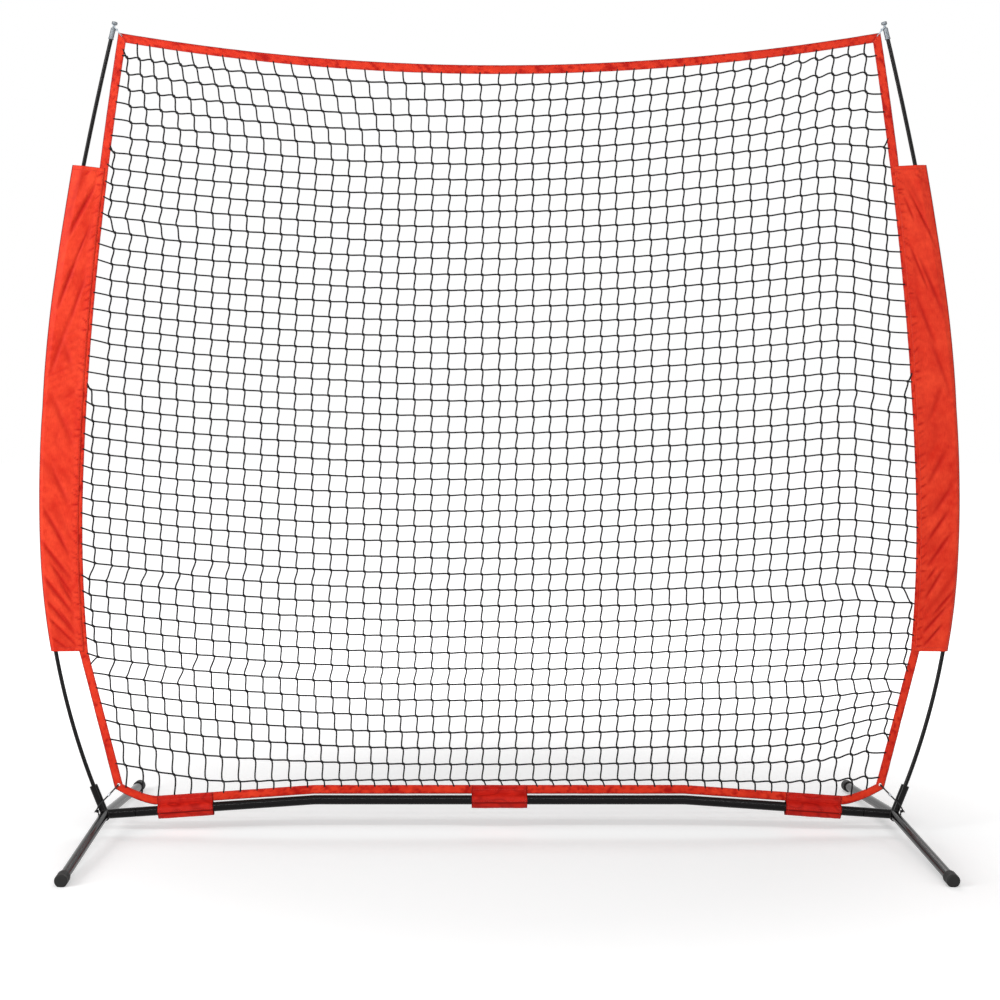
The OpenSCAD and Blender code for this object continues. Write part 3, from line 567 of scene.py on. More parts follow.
def net_strand_tree():
    """Turns each edge of a chart into a strand that bends into the joints at its ends.

    The lean attribute of an end is the length and way of its joint, and nought in the border.
    """
    tree, put, given = new_tree("net_strands", [
        ("Strand Diameter", "Float", STRAND_D), ("Handle", "Float", 0.6), ("Bend", "Float", 1.0),
        ("Sides", "Int", 6), ("Steps", "Int", 6), ("Material", "Material", None)])
    curve = put("GeometryNodeMeshToCurve", {"Mesh": given["Geometry"]})
    place = put("GeometryNodeInputPosition")
    middle = put("GeometryNodeFieldOnDomain", {0: place}, data_type="FLOAT_VECTOR", domain="CURVE")
    run = put("ShaderNodeVectorMath", {0: middle, 1: place}, operation="SUBTRACT")
    lean, slack, saved = (
        put("GeometryNodeInputNamedAttribute", {"Name": name}, data_type=kind)
        for name, kind in (
            ("lean", "FLOAT_VECTOR"), ("slack", "FLOAT"), ("handle", "FLOAT_VECTOR")))
    along = put("ShaderNodeVectorMath", {0: run, 1: lean}, operation="DOT_PRODUCT").outputs[1]
    sign = put("ShaderNodeMath", {0: along}, operation="SIGN")
    half = put("ShaderNodeMath", {0: sign, 1: 0.5}, operation="MULTIPLY")
    shift = put("ShaderNodeVectorMath", {0: lean, "Scale": half}, operation="SCALE")
    moved = put("GeometryNodeSetPosition", {"Geometry": curve, "Offset": shift})
    bezier = put("GeometryNodeCurveSplineType", {"Curve": moved}, spline_type="BEZIER")
    loose = put("GeometryNodeCurveSetHandles", {"Curve": bezier}, handle_type="FREE")
    # A strand leaves its joint partly the joint's way, and more so where it is slack
    ahead = put("ShaderNodeVectorMath", {0: run}, operation="NORMALIZE")
    joint_way = put("ShaderNodeVectorMath", {0: lean}, operation="NORMALIZE")
    bend = put("ShaderNodeMath", {0: sign, 1: slack}, operation="MULTIPLY")
    bend = put("ShaderNodeMath", {0: bend, 1: given["Bend"]}, operation="MULTIPLY")
    joint_way = put("ShaderNodeVectorMath", {0: joint_way, "Scale": bend}, operation="SCALE")
    way = put("ShaderNodeVectorMath", {0: ahead, 1: joint_way}, operation="ADD")
    way = put("ShaderNodeVectorMath", {0: way}, operation="NORMALIZE")
    reach = put("ShaderNodeVectorMath", {0: run}, operation="LENGTH").outputs[1]
    reach = put("ShaderNodeMath", {0: reach, 1: given["Handle"]}, operation="MULTIPLY")
    handle = put("ShaderNodeVectorMath", {0: way, "Scale": reach}, operation="SCALE")
    kept = put("GeometryNodeStoreNamedAttribute",
               {"Geometry": loose, "Name": "handle", "Value": handle},
               data_type="FLOAT_VECTOR", domain="POINT")
    target = put("ShaderNodeVectorMath", {0: place, 1: saved}, operation="ADD")
    for mode in ("LEFT", "RIGHT"):
        kept = put("GeometryNodeSetCurveHandlePositions", {"Curve": kept, "Position": target},
                   mode=mode)
    fine = put("GeometryNodeSetSplineResolution", {"Geometry": kept, "Resolution": given["Steps"]})
    spline = put("GeometryNodeSplineParameter").outputs
    fine = put("GeometryNodeStoreNamedAttribute",
               {"Geometry": fine, "Name": "along", "Value": spline["Length"]},
               data_type="FLOAT", domain="POINT")
    radius = put("ShaderNodeMath", {0: given["Strand Diameter"], 1: 0.5}, operation="MULTIPLY")
    circle = put("GeometryNodeCurvePrimitiveCircle",
                 {"Resolution": given["Sides"], "Radius": radius})
    circle = put("GeometryNodeStoreNamedAttribute",
                 {"Geometry": circle, "Name": "around", "Value": spline["Factor"]},
                 data_type="FLOAT", domain="POINT")
    skin = put("GeometryNodeCurveToMesh",
               {"Curve": fine, "Profile Curve": circle, "Fill Caps": True})
    end_tree(put, skin, given["Material"])
    return tree


def net_joint_tree():
    """Puts a short plaited barrel, thinner at both ends, on each crossing, along its lean."""
    tree, put, given = new_tree("net_joints", [
        ("Joint Diameter", "Float", JOINT_D), ("Overlap", "Float", JOINT_OVERLAP),
        ("Seed", "Int", 5), ("Material", "Material", None)])
    ball = put("GeometryNodeMeshUVSphere", {"Segments": 6, "Rings": 5, "Radius": 0.5})
    height = put("ShaderNodeSeparateXYZ", {0: put("GeometryNodeInputPosition")}).outputs[2]
    barrel = put("GeometryNodeStoreNamedAttribute",
                 {"Geometry": ball, "Name": "around", "Value": height},
                 data_type="FLOAT", domain="POINT")
    lean = put("GeometryNodeInputNamedAttribute", {"Name": "lean"}, data_type="FLOAT_VECTOR")
    turn = put("FunctionNodeAlignRotationToVector", {"Vector": lean}, axis="Z")
    reach = put("ShaderNodeVectorMath", {0: lean}, operation="LENGTH").outputs[1]
    reach = put("ShaderNodeMath", {0: reach, 1: given["Overlap"]}, operation="ADD")
    swell = put("FunctionNodeRandomValue", {2: 0.9, 3: 1.15, "Seed": given["Seed"]},
                data_type="FLOAT").outputs[1]
    girth = put("ShaderNodeMath", {0: given["Joint Diameter"], 1: swell}, operation="MULTIPLY")
    size = put("ShaderNodeCombineXYZ", {0: girth, 1: girth, 2: reach})
    placed = put("GeometryNodeInstanceOnPoints", {
        "Points": given["Geometry"], "Instance": barrel, "Rotation": turn, "Scale": size})
    end_tree(put, placed, given["Material"])
    return tree


def bead_tree():
    """Sets beads along a path, a pitch apart, each turned along it: stitches or weld ripples."""
    tree, put, given = new_tree("beads_on_path", [
        ("Pitch", "Float", STITCH_PITCH), ("Length", "Float", STITCH_L),
        ("Width", "Float", STITCH_W), ("Depth", "Float", STITCH_W), ("Segments", "Int", 5),
        ("Rings", "Int", 3), ("Wander", "Float", 0.0), ("Seed", "Int", 3),
        ("Material", "Material", None)])
    curve = put("GeometryNodeMeshToCurve", {"Mesh": given["Geometry"]})
    dots = put("GeometryNodeCurveToPoints", {"Curve": curve, "Length": given["Pitch"]},
               mode="LENGTH")
    facing = put("GeometryNodeInputNamedAttribute", {"Name": "facing"}, data_type="FLOAT_VECTOR")
    ball = put("GeometryNodeMeshUVSphere", {
        "Segments": given["Segments"], "Rings": given["Rings"], "Radius": 0.5})
    size = put("ShaderNodeCombineXYZ", {0: given["Length"], 1: given["Width"], 2: given["Depth"]})
    # The sphere is turned first, so that its poles point along the bead
    bead = put("GeometryNodeTransform", {"Geometry": ball, "Rotation": (0, pi / 2, 0)})
    bead = put("GeometryNodeTransform", {"Geometry": bead, "Scale": size})
    turn = put("FunctionNodeAlignRotationToVector", {"Vector": facing}, axis="Z")
    turn = put("FunctionNodeAlignRotationToVector",
               {"Rotation": turn, "Vector": dots.outputs["Tangent"]}, axis="X",
               pivot_axis="Z")
    reach = [put("ShaderNodeVectorMath", {0: (way, way, way), "Scale": given["Wander"]},
                 operation="SCALE") for way in (-1, 1)]
    stray = put("FunctionNodeRandomValue", {0: reach[0], 1: reach[1], "Seed": given["Seed"]},
                data_type="FLOAT_VECTOR")
    strayed = put("GeometryNodeSetPosition", {"Geometry": dots, "Offset": stray})
    placed = put("GeometryNodeInstanceOnPoints", {
        "Points": strayed, "Instance": bead, "Rotation": turn})
    end_tree(put, placed, given["Material"])
    return tree


def grown(name, chart, tree, **inputs):
    """Runs a tree on a chart, which becomes a plain mesh piece."""
    grower = chart.modifiers.new("grow", "NODES")
    grower.node_group = tree
    for item in tree.interface.items_tree:
        label = item.name.replace(" ", "_")
        if item.in_out == "INPUT" and label in inputs:
            grower[item.identifier] = inputs[label]
    settle(chart)
    chart.name = chart.data.name = name
    return chart


STRANDS = net_strand_tree()
JOINTS = net_joint_tree()
BEADS = bead_tree()


def on_stand(slot, *pieces):
    """Puts pieces of one look on the stand; the slot, which names the look, is not used."""
    for piece in pieces:
        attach(piece, "stand")


def chart_of(verts, edges, **attributes):
    """Bare points and edges with attributes, for a tree to work on."""
    chart = new_piece("chart", verts, [], None, edges)
    for name, values in attributes.items():
        if isinstance(values[0], float):
            layer = chart.data.attributes.new(name, "FLOAT", "POINT")
            layer.data.foreach_set("value", values)
        else:
            layer = chart.data.attributes.new(name, "FLOAT_VECTOR", "POINT")
            layer.data.foreach_set("vector", [value for way in values for value in way])
    return chart


def stitched(name, rows, **inputs):
    """Beads along rows of points, each row a path and the way its surface faces."""
    verts, edges, ways = [], [], []
    for path, facing in rows:
        first = len(verts)
        verts += path
        ways += facing
        edges += [(first + i, first + i + 1) for i in range(len(path) - 1)]
    return grown(name, chart_of(verts, edges, facing=ways), BEADS, **inputs)


# -------- camera and cords

def make_camera():
    """Camera level with the middle of the net, a little to its left."""
    camera = bpy.data.cameras.new("camera")
    camera.sensor_width = 36     # mm, as is the lens
    camera.lens = 61.2
    camera.shift_x = 0.059
    camera.shift_y = -0.078
    made = bpy.data.objects.new("camera", camera)
    bpy.context.scene.collection.objects.link(made)
    made.location = (-0.158, -4.6, 1.112)
    made.rotation_euler = (pi / 2, 0, 0)
    bpy.context.scene.camera = made


# Right-hand bungee in millimetres, from the crimp through the net's eyelet and back, then
# across the front of the socket to the hook.
BUNGEE_ROUTE = [
    (1058, -10.6, 101.7), (1051.3, -8.4, 108.8), (1041.6, -4.9, 119), (1033.8, -4, 127.2),
    (1031.8, -2.8, 129.2), (1031, 0, 130.1), (1031.8, 2.8, 129.2), (1033.8, 4, 127.2),
    (1041.6, 3.6, 119), (1046.5, 0.6, 113.9), (1051.3, -3.8, 108.8), (1058, -5.9, 101.7),
    (1064, -9.5, 95.5), (1070, -12.8, 89.3), (1076, -14.4, 83), (1081, -16, 76),
    (1084.4, -18, 70), (1086, -19, 65.6), (1086.4, -17.6, 62), (1086.4, -14, 60.8),
    (1086.4, -9.5, 60.6)]


KNOT_STEPS = 72


def knot(name, at, size, cord_d, material):
    """Small pulled-tight overhand knot: a trefoil of the cord itself."""
    points = []
    for k in range(KNOT_STEPS + 1):
        t = 2 * pi * k / KNOT_STEPS
        points.append(at + size * Vector((
            (sin(t) + 2 * sin(2 * t)) / 3, -sin(3 * t) / 2.2,
            (cos(t) - 2 * cos(2 * t)) / 3)))
    return tube(name, points, cord_d / 2, 8, material)


def make_bungees():
    """Bungee cords from the net's lower corners to the wire hooks."""
    route = smooth_path([Vector(p) * MM for p in BUNGEE_ROUTE], 4)
    for name, side in SIDES:
        path = mirrored(route, side)
        cord = tube(f"bungee_cord_{name}", path, BUNGEE_D / 2, 12, BUNGEE)
        end = knot(f"bungee_end_knot_{name}", path[-1] + Vector((0, 2.2 * MM, 0)), BUNGEE_KNOT,
                   2.8 * MM, BUNGEE)
        on_stand("bungee_cord", cord, end)
        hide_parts(f"bungee_{name}")


def make_top_loops():
    """Cord loops round the caps' necks and through the net's top corners, knotted behind."""
    neck = POLE_TIP + CAP_NECK_Z * heading(TIP_ANGLE)
    eyelet = TOP_CORNER - Vector((TOP_EYELET_IN, 0, TOP_EYELET_IN))
    run = (neck - eyelet).length
    ahead = (neck - eyelet).normalized()
    fall = atan2(ahead.z, ahead.x)
    radius = (CAP_NECK_R + LOOP_D / 2 + 0.2 * MM) / sin(pi / 2 - fall - TIP_ANGLE)
    straight = run - radius
    spots = [(-straight * (0.35 - 0.35 * k / 4), radius) for k in range(4)]
    spots += [(radius * cos(a), radius * sin(a)) for a in (pi * (0.5 - k / 16) for k in range(17))]
    spots += [(-straight * k / 8, -radius) for k in range(1, 8)]
    spots += [(-straight - radius * sin(a), -radius * cos(a))
              for a in (pi * k / 16 for k in range(17))]
    spots += [(-straight * (1 - 0.6 * k / 5), radius) for k in range(1, 6)]
    for name, side in SIDES:
        path = mirrored([neck + ahead * s + Vector((0, y, 0)) for s, y in spots], side)
        cord = tube(f"top_loop_cord_{name}", path, LOOP_D / 2, 10, LOOP_CORD)
        tied = knot(f"top_loop_knot_{name}", (path[0] + path[-1]) / 2, LOOP_KNOT, 2.2 * MM,
                    LOOP_CORD)
        on_stand("loop_cord", cord, tied)
        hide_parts(f"top_loop_{name}")


# -------- net

# Creases left by the bag: side, height, sideways step, how far in it reaches, and how far up and
# down it fades. Below each one the net stands a double step away.
NET_CREASES = [(-1, 1645 * MM, -13 * MM, 0.28, 0.07), (-1, 1180 * MM, -4 * MM, 0.3, 0.2),
               (-1, 700 * MM, 12 * MM, 0.42, 0.12), (-1, 440 * MM, 15 * MM, 0.5, 0.13),
               (1, 1180 * MM, 4 * MM, 0.4, 0.2), (1, 640 * MM, -15 * MM, 0.4, 0.12),
               (1, 400 * MM, -12 * MM, 0.4, 0.1)]
# How the right-hand ends of the rows rise or fall beside the border, by height
END_RISE = [(0.14, 45 * MM), (0.22, 27 * MM), (0.31, 20 * MM), (0.4, 0), (0.78, -19 * MM),
            (1.68, -34 * MM), (1.9, -7 * MM), (2.03, 8 * MM)]
# How far the rows climb to the left side, and to the right one at the foot and more at the top
LEFT_CLIMB = 76 * MM
RIGHT_CLIMB = (17 * MM, 56 * MM)
# How the columns gather at the top and at the foot, and how far they are drawn inwards, by side
GATHERS = {-1: (0.19, 0.02, 26 * MM), 1: (0.02, 0.05, 8 * MM)}
LOW_GAP = 13.5 * MM
TOP_GAP = 29 * MM
NET_TUCK = 5 * MM
LOW_INNER = meet(low_z, BORDER_W, BORDER_W / 2, LOW_CORNER.x)
TOP_INNER = meet(top_z, BORDER_W, -BORDER_W / 2, TOP_CORNER.x)


def steps(table, at):
    """Value at a place in a table of places and values, straight between them."""
    for (x0, y0), (x1, y1) in zip(table, table[1:]):
        if at < x1:
            return y0 + (y1 - y0) * max(0, (at - x0) / (x1 - x0))
    return table[-1][1]


def row_z(j, u):
    """Height of row j at a share of the half width, before creases.

    The net is slack, so its rows climb towards both sides, the left one more.
    """
    low = low_z(0) + BORDER_W / 2
    high = top_z(0) - BORDER_W / 2
    if j == 0:
        return low_z(u * LOW_INNER.x) + BORDER_W / 2 - NET_TUCK
    if j == NET_ROWS:
        return high + TOP_SAG * (u * TOP_INNER.x / TOP_CORNER.x) ** 2 + NET_TUCK
    share = (j - 1) / (NET_ROWS - 2)
    z = low + LOW_GAP + (high - TOP_GAP - low - LOW_GAP) * share
    at = abs(u)
    if u < 0:
        rise = LEFT_CLIMB * at ** (2 + 0.9 * exp((1 - j) / 5))
    else:
        climb = RIGHT_CLIMB[0] + RIGHT_CLIMB[1] * max(0, (z - 0.436) / 1.588) ** 1.5
        rise = climb * (min(at, 0.87) / 0.87) ** 2 + steps(END_RISE, z) * smooth_step(5 * at - 4)
    # The lowest row keeps to the border
    dip = 0.3 * (low_z(u * LOW_INNER.x) + BORDER_W / 2 - low)
    corner = (42 * MM if u < 0 else 12 * MM) * smooth_step((at - 0.7) / 0.3)
    kept = exp((1 - j) / 0.85)
    return z + rise * (1 - kept) + (dip + corner) * kept


def edge_half(z):
    """Half width of the opening inside the side borders."""
    return side_x(min(max(z, LOW_INNER.z), TOP_INNER.z)) - BORDER_W


def column_x(k, z):
    """Column k before creases: straighter than the border, and closer set at the corners."""
    u = k / NET_HALF_COLS
    at_top, at_low, drift = GATHERS[-1 if k < 0 else 1]
    near_top = max(0, 1 - (TOP_INNER.z - z) / 0.3) ** 1.5
    follow = 0.25 + at_top * near_top
    width = follow * edge_half(z) + (1 - follow) * (SIDE_BELLY - BORDER_W)
    near_low = max(0, 1 - (z - LOW_INNER.z) / 0.3) ** 1.5
    gather = at_top * near_top + at_low * near_low
    x = width * u * (1 + gather * (1 - abs(u) ** 2.5))
    # Above the bar the whole side of the net is drawn inwards
    inwards = drift * smooth_step(1 - (z - LOW_INNER.z) / 0.35) * smooth_step(abs(u) / 0.4)
    return x - copysign(inwards, u)


def net_point(k, j):
    """Crossing of column k, counted from the middle, and row j, counted from below."""
    u = max(-1, min(1, k / NET_HALF_COLS))
    for _ in range(3):
        z = row_z(j, u)
        edge_z = row_z(j, 1)
        u = max(-1, min(1, column_x(k, edge_z) / edge_half(edge_z)))
    half = edge_half(edge_z)
    x = column_x(k, edge_z)
    inside = min(1, max(0, 1 - abs(u)) * 6)
    from_side = max(0, 1 - abs(u)) * half
    rim = min(1, min(j, NET_ROWS - j) / 3)
    for side, at, pull, reach, fade in NET_CREASES:
        if side * u > 0:
            strength = exp(-abs(z - at) / fade) * exp(-from_side / reach)
            x += (pull if z > at else -pull) * strength * rim
    x += 3 * MM * ripple(1, (x, z), 0.35) * inside * rim
    z += 2.5 * MM * ripple(2, (x, z), 0.3) * inside * rim
    x += 1.2 * MM * ripple(3, (x, z), 0.03) * rim
    z += 1.0 * MM * ripple(4, (x, z), 0.03) * rim
    if j == 0:
        x += 10 * MM * bell(u, 0.5)
    y = 7 * MM * ripple(5, (x, z), 0.5) * inside * rim
    return Vector((x, y, z))


def slack(point):
    """How loosely the strands hang at a place: straight in the middle, slack at the corners."""
    high = smooth_step(1 - (TOP_CORNER.z - point.z) / 0.5)
    low = smooth_step(1 - (point.z - LOW_CORNER.z) / 0.3)
    side = smooth_step((abs(point.x) - 0.5) / 0.45)
    return 0.3 + 0.9 * high * side + 0.55 * low * side * (1.3 if point.x > 0 else 0.4) \
        + 0.2 * high + 0.2 * abs(ripple(8, (point.x, point.z), 0.4))


def joint_lean(point):
    """A joint's length and way, from its middle: longer and steeper where the net is slack."""
    share = smooth_step(slack(point) - 0.4)
    return (JOINT_L + 3 * MM * share) * JOINT_LEAN.lerp(SLACK_LEAN, share)


def net_strands():
    """Upright and cross strands and the inner crossings. Strands at the rim end in the border."""
    last = ceil(NET_HALF_COLS) + 2
    points = {(k, j): net_point(k, j) for k in range(-last, last + 1) for j in range(NET_ROWS + 1)}
    inside = {key for key, p in points.items() if abs(p.x) < edge_half(p.z) - 7 * MM}

    def tucked(side, z):
        return Vector((side * (edge_half(z) + NET_TUCK), 0, z))

    up, across = [], []
    for (k, j), p in points.items():
        if j < NET_ROWS:
            q = points[k, j + 1]
            ends = (p, 0 < j), (q, j + 1 < NET_ROWS)
            held = (k, j) in inside, (k, j + 1) in inside
            if all(held):
                up.append(ends)
            elif any(held):
                border = tucked(1 if p.x + q.x > 0 else -1, (p.z + q.z) / 2), False
                up.append((ends[0], border) if held[0] else (border, ends[1]))
        if 0 < j < NET_ROWS and (k, j) in inside:
            for side in (-1, 1):
                if (k + side, j) in inside:
                    if side > 0:
                        across.append(((p, True), (points[k + side, j], True)))
                else:
                    rise = (11 * MM if side < 0 else -4 * MM) + 5 * MM * ripple(6, (j, side), 1.7)
                    end = tucked(side, p.z + rise * min(1, j / 3) * min(1, (NET_ROWS - j) / 3))
                    across.append(((p, True), (end, False)) if side > 0 else
                                  ((end, False), (p, True)))
    inner = [p for (k, j), p in points.items() if (k, j) in inside and 0 < j < NET_ROWS]
    return up, across, inner


def make_net():
    """Upright strands, cross strands and joints, one piece each."""
    up, across, inner = net_strands()
    made = []
    for name, strands in (("net_upright_strands", up), ("net_cross_strands", across)):
        ends = [end for strand in strands for end in strand]
        chart = chart_of([p for p, _ in ends], [(k, k + 1) for k in range(0, len(ends), 2)],
                         lean=[joint_lean(p) if free else Vector() for p, free in ends],
                         slack=[slack(p) for p, _ in ends])
        made.append(grown(name, chart, STRANDS, Material=TWINE))
    made.append(grown("net_joints", chart_of(inner, [], lean=[joint_lean(p) for p in inner]),
                      JOINTS, Material=TWINE))
    on_stand("net_twine", *made)
    for piece in made:
        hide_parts("net")


# -------- border

# Shares across a band at the points of its half section, and the points on its seams
BAND_STEPS = 14
ACROSS_BAND = [(1 - cos(pi * k / BAND_STEPS)) / 2 for k in range(BAND_STEPS + 1)]
BAND_SEAMS = (3, 11)
# Eyelets of the right-hand corners, upper and lower
EYELETS = [(TOP_CORNER - Vector((TOP_EYELET_IN, 0, TOP_EYELET_IN)), TOP_EYELET_D / 2),
           (LOW_EYELET, LOW_EYELET_D / 2)]


def finer_ends(length, step):
    """Shares of a length, a step apart, and four times as fine near both ends."""
    count = int(length / step)
    fine = [0.25 * k / count for k in (1, 2, 3)]
    return sorted([k / count for k in range(count + 1)] + fine + [1 - f for f in fine])


# Height and size of a band's waves, from small puckers to the longest
BAND_WAVES = (0.9 * MM, 0.011), (1.1 * MM, 0.032), (0.5 * MM, 0.09)


def band_wave(seed, spot):
    """How far a band stands to the rear of its plane."""
    run = (spot.x + spot.z, spot.z - spot.x)
    return sum(height * ripple(seed + k, run, size) for k, (height, size) in enumerate(BAND_WAVES))


def band_rings(outer, inner, seed, mitre_seams):
    """Rings of a folded band between its outer and inner edge, and how much painted shade each
    point gets.
    """
    rings, painted_shades = [], []
    for i, (o, n) in enumerate(zip(outer, inner)):
        ring, row = [], []
        # Painted shade along the mitre seams, near both ends of a top band
        mitre = 0.55 * bell(min(i, len(outer) - 1 - i) - 3, 1.3) if mitre_seams else 0.0
        for face, order in ((-1, range(BAND_STEPS + 1)), (1, range(BAND_STEPS - 1, 0, -1))):
            for k in order:
                s = ACROSS_BAND[k]
                spot = o.lerp(n, s)
                seam = max(bell(s - ACROSS_BAND[at], 0.035) for at in BAND_SEAMS)
                half = BAND_T / 2 * (1 - abs(2 * s - 1) ** 6) ** 0.5 * (1 - 0.22 * seam)
                # The band lies flat round its eyelets
                from_eyelet = min((Vector((abs(spot.x), 0, spot.z)) - at).length
                                  for at, _ in EYELETS)
                wave = band_wave(seed, spot) * smooth_step((from_eyelet - 6 * MM) / (16 * MM))
                # The outer half lies flat where a sleeve is sewn over it
                sewn = smooth_step((0.85 - s) / 0.2) if SLEEVE_LOW < spot.z < SLEEVE_HIGH \
                    and abs(spot.x) > TOP_CORNER.x else 0.0
                ring.append(Vector((spot.x, face * half + wave * (1 - 0.8 * sewn), spot.z)))
                # Painted shade: darker down in the band's wave valleys and along both folded
                # edges, the outer one most
                valley_shade = max(0, -face * wave / (1.1 * MM) - 0.1)
                rolled_edge_shade = bell(s, 0.07) + 0.55 * bell(1 - s, 0.05)
                # Painted shade of stitch puckers: darker here and there, along and beside each
                # seam
                drawn = max(0, ripple(seed + 3, (spot.x + spot.z, 0), 0.012) - 0.05)
                dent_shade = drawn * max(bell(s - ACROSS_BAND[at], 0.13) for at in BAND_SEAMS)
                # Painted shade of each point: the deepest of folded edge, wave valley, stitch
                # pucker, seam line and mitre
                row.append(max(rolled_edge_shade, min(0.5, 0.75 * valley_shade), min(0.5, 1.8 * dent_shade),
                               0.12 * seam, mitre))
        rings.append(ring)
        painted_shades.append(row)
    return rings, painted_shades


def border_edges():
    """Outer and inner edge of each border band, from mitre to mitre, on the whole net."""
    step = 6 * MM
    out = {}
    for where, line, out_way, corner, inner_corner in (
            ("top", top_z, 1, TOP_CORNER, TOP_INNER),
            ("bottom", low_z, -1, LOW_CORNER, LOW_INNER)):
        shares = [2 * s - 1 for s in finer_ends(2 * corner.x, step)]
        out[where] = (
            [Vector((u * corner.x, 0, line(u * corner.x) + out_way * BORDER_W / 2))
             for u in shares],
            [Vector((u * inner_corner.x, 0, line(u * inner_corner.x) - out_way * BORDER_W / 2))
             for u in shares])
    low_outer = Vector((LOW_CORNER.x, 0, low_z(LOW_CORNER.x) - BORDER_W / 2))
    shares = finer_ends(TOP_CORNER.z - LOW_CORNER.z, step)
    edges = []
    for inset, low, high in ((0, low_outer, TOP_CORNER), (BORDER_W, LOW_INNER, TOP_INNER)):
        heights = [low.z + (high.z - low.z) * s for s in shares]
        edge = [Vector((side_x(max(z, LOW_CORNER.z)) - inset, 0, z)) for z in heights]
        edge[0], edge[-1] = low.copy(), high.copy()
        edges.append(edge)
    out["right"] = tuple(edges)
    out["left"] = tuple(mirrored(edge, -1) for edge in edges)
    return out


def make_borders():
    """Four folded bands with mitred corners and stitched eyelets, and the stitch rows on them."""
    cutters = []
    for at, radius in EYELETS:
        for _, side in SIDES:
            spot = mirrored([at], side)[0]
            cutters.append(tube("eyelet_cutter", [spot + Vector((0, y, 0)) for y in (
                -8 * MM, 0, 8 * MM)], radius, 20, None))
            face_outwards(cutters[-1])
    for k, (where, (outer, inner)) in enumerate(border_edges().items()):
        rings, painted_shades = band_rings(outer, inner, 11 + 5 * k, where == "top")
        band = lofted("border_band_" + where, rings, BORDER_CLOTH, painted_shades=painted_shades)
        face_outwards(band)
        for cutter in cutters:
            bore = band.modifiers.new("eyelet", "BOOLEAN")
            bore.object = cutter
        settle(band)
        rows = []
        for face in (-1, 1):
            lift = Vector((0, face * STITCH_LIFT, 0))
            order = [k if face < 0 else 2 * BAND_STEPS - k for k in range(1, BAND_STEPS)]
            lines = [[ring[order[at - 1]] + lift for ring in rings] for at in BAND_SEAMS]
            lines += [[rings[i][k] + lift for k in order] for i in (2, len(rings) - 3)]
            rows += [(line, [(0, face, 0)] * len(line)) for line in lines]
        stitches = stitched("border_stitches_" + where, rows, Material=THREAD)
        on_stand("red_fabric", band, stitches)
        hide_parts("border_" + where)
    for cutter in cutters:
        bpy.data.objects.remove(cutter)


def make_eyelet_stitches():
    """Ring of whip stitches round each eyelet, on both faces."""
    for name, side in SIDES:
        rows = []
        for at, radius in EYELETS:
            ring = radius + 1.2 * MM
            count = round(2 * pi * ring / (1.3 * MM))
            for face in (-1, 1):
                hub = mirrored([at], side)[0] + Vector((0, face * (BAND_T / 2 + 0.2 * MM), 0))
                for a in (2 * pi * k / count for k in range(count)):
                    way = Vector((cos(a), 0, sin(a)))
                    rows.append(([hub + way * r for r in (ring, ring + 1 * MM)],
                                 [(0, face, 0)] * 2))
        whip = stitched(f"eyelet_stitches_{name}", rows, Pitch=5 * MM, Length=2.4 * MM,
                        Width=1.1 * MM, Depth=0.9 * MM, Material=THREAD)
        on_stand("red_fabric", whip)


# -------- sleeves

def cloth_sheet(name, rings, painted_shades, material):
    """Open sheet over rings of points, given its thickness and made a plain mesh."""
    sheet = lofted(name, rings, material, closed=False, painted_shades=painted_shades)
    solid = sheet.modifiers.new("thickness", "SOLIDIFY")
    solid.thickness = CLOTH_T
    solid.offset = 0
    settle(sheet)
    return sheet


def surface_ways(rings):
    """Normal of a sheet at each point of its rings."""
    out = []
    for i, ring in enumerate(rings):
        before, after = rings[max(i - 1, 0)], rings[min(i + 1, len(rings) - 1)]
        row = []
        for k in range(len(ring)):
            across = ring[min(k + 1, len(ring) - 1)] - ring[max(k - 1, 0)]
            row.append(across.cross(after[k] - before[k]).normalized())
        out.append(row)
    return out


def sewn_rows(rings, along, across):
    """Stitch rows on a sheet: points that run along its rings, and whole rings."""
    ways = surface_ways(rings)
    lift = CLOTH_T / 2 + STITCH_LIFT
    spots = [[(i, k) for i in range(len(rings))] for k in along]
    spots += [[(i, k) for k in range(len(rings[0]))] for i in across]
    return [([rings[i][k] + ways[i][k] * lift for i, k in row], [ways[i][k] for i, k in row])
            for row in spots]


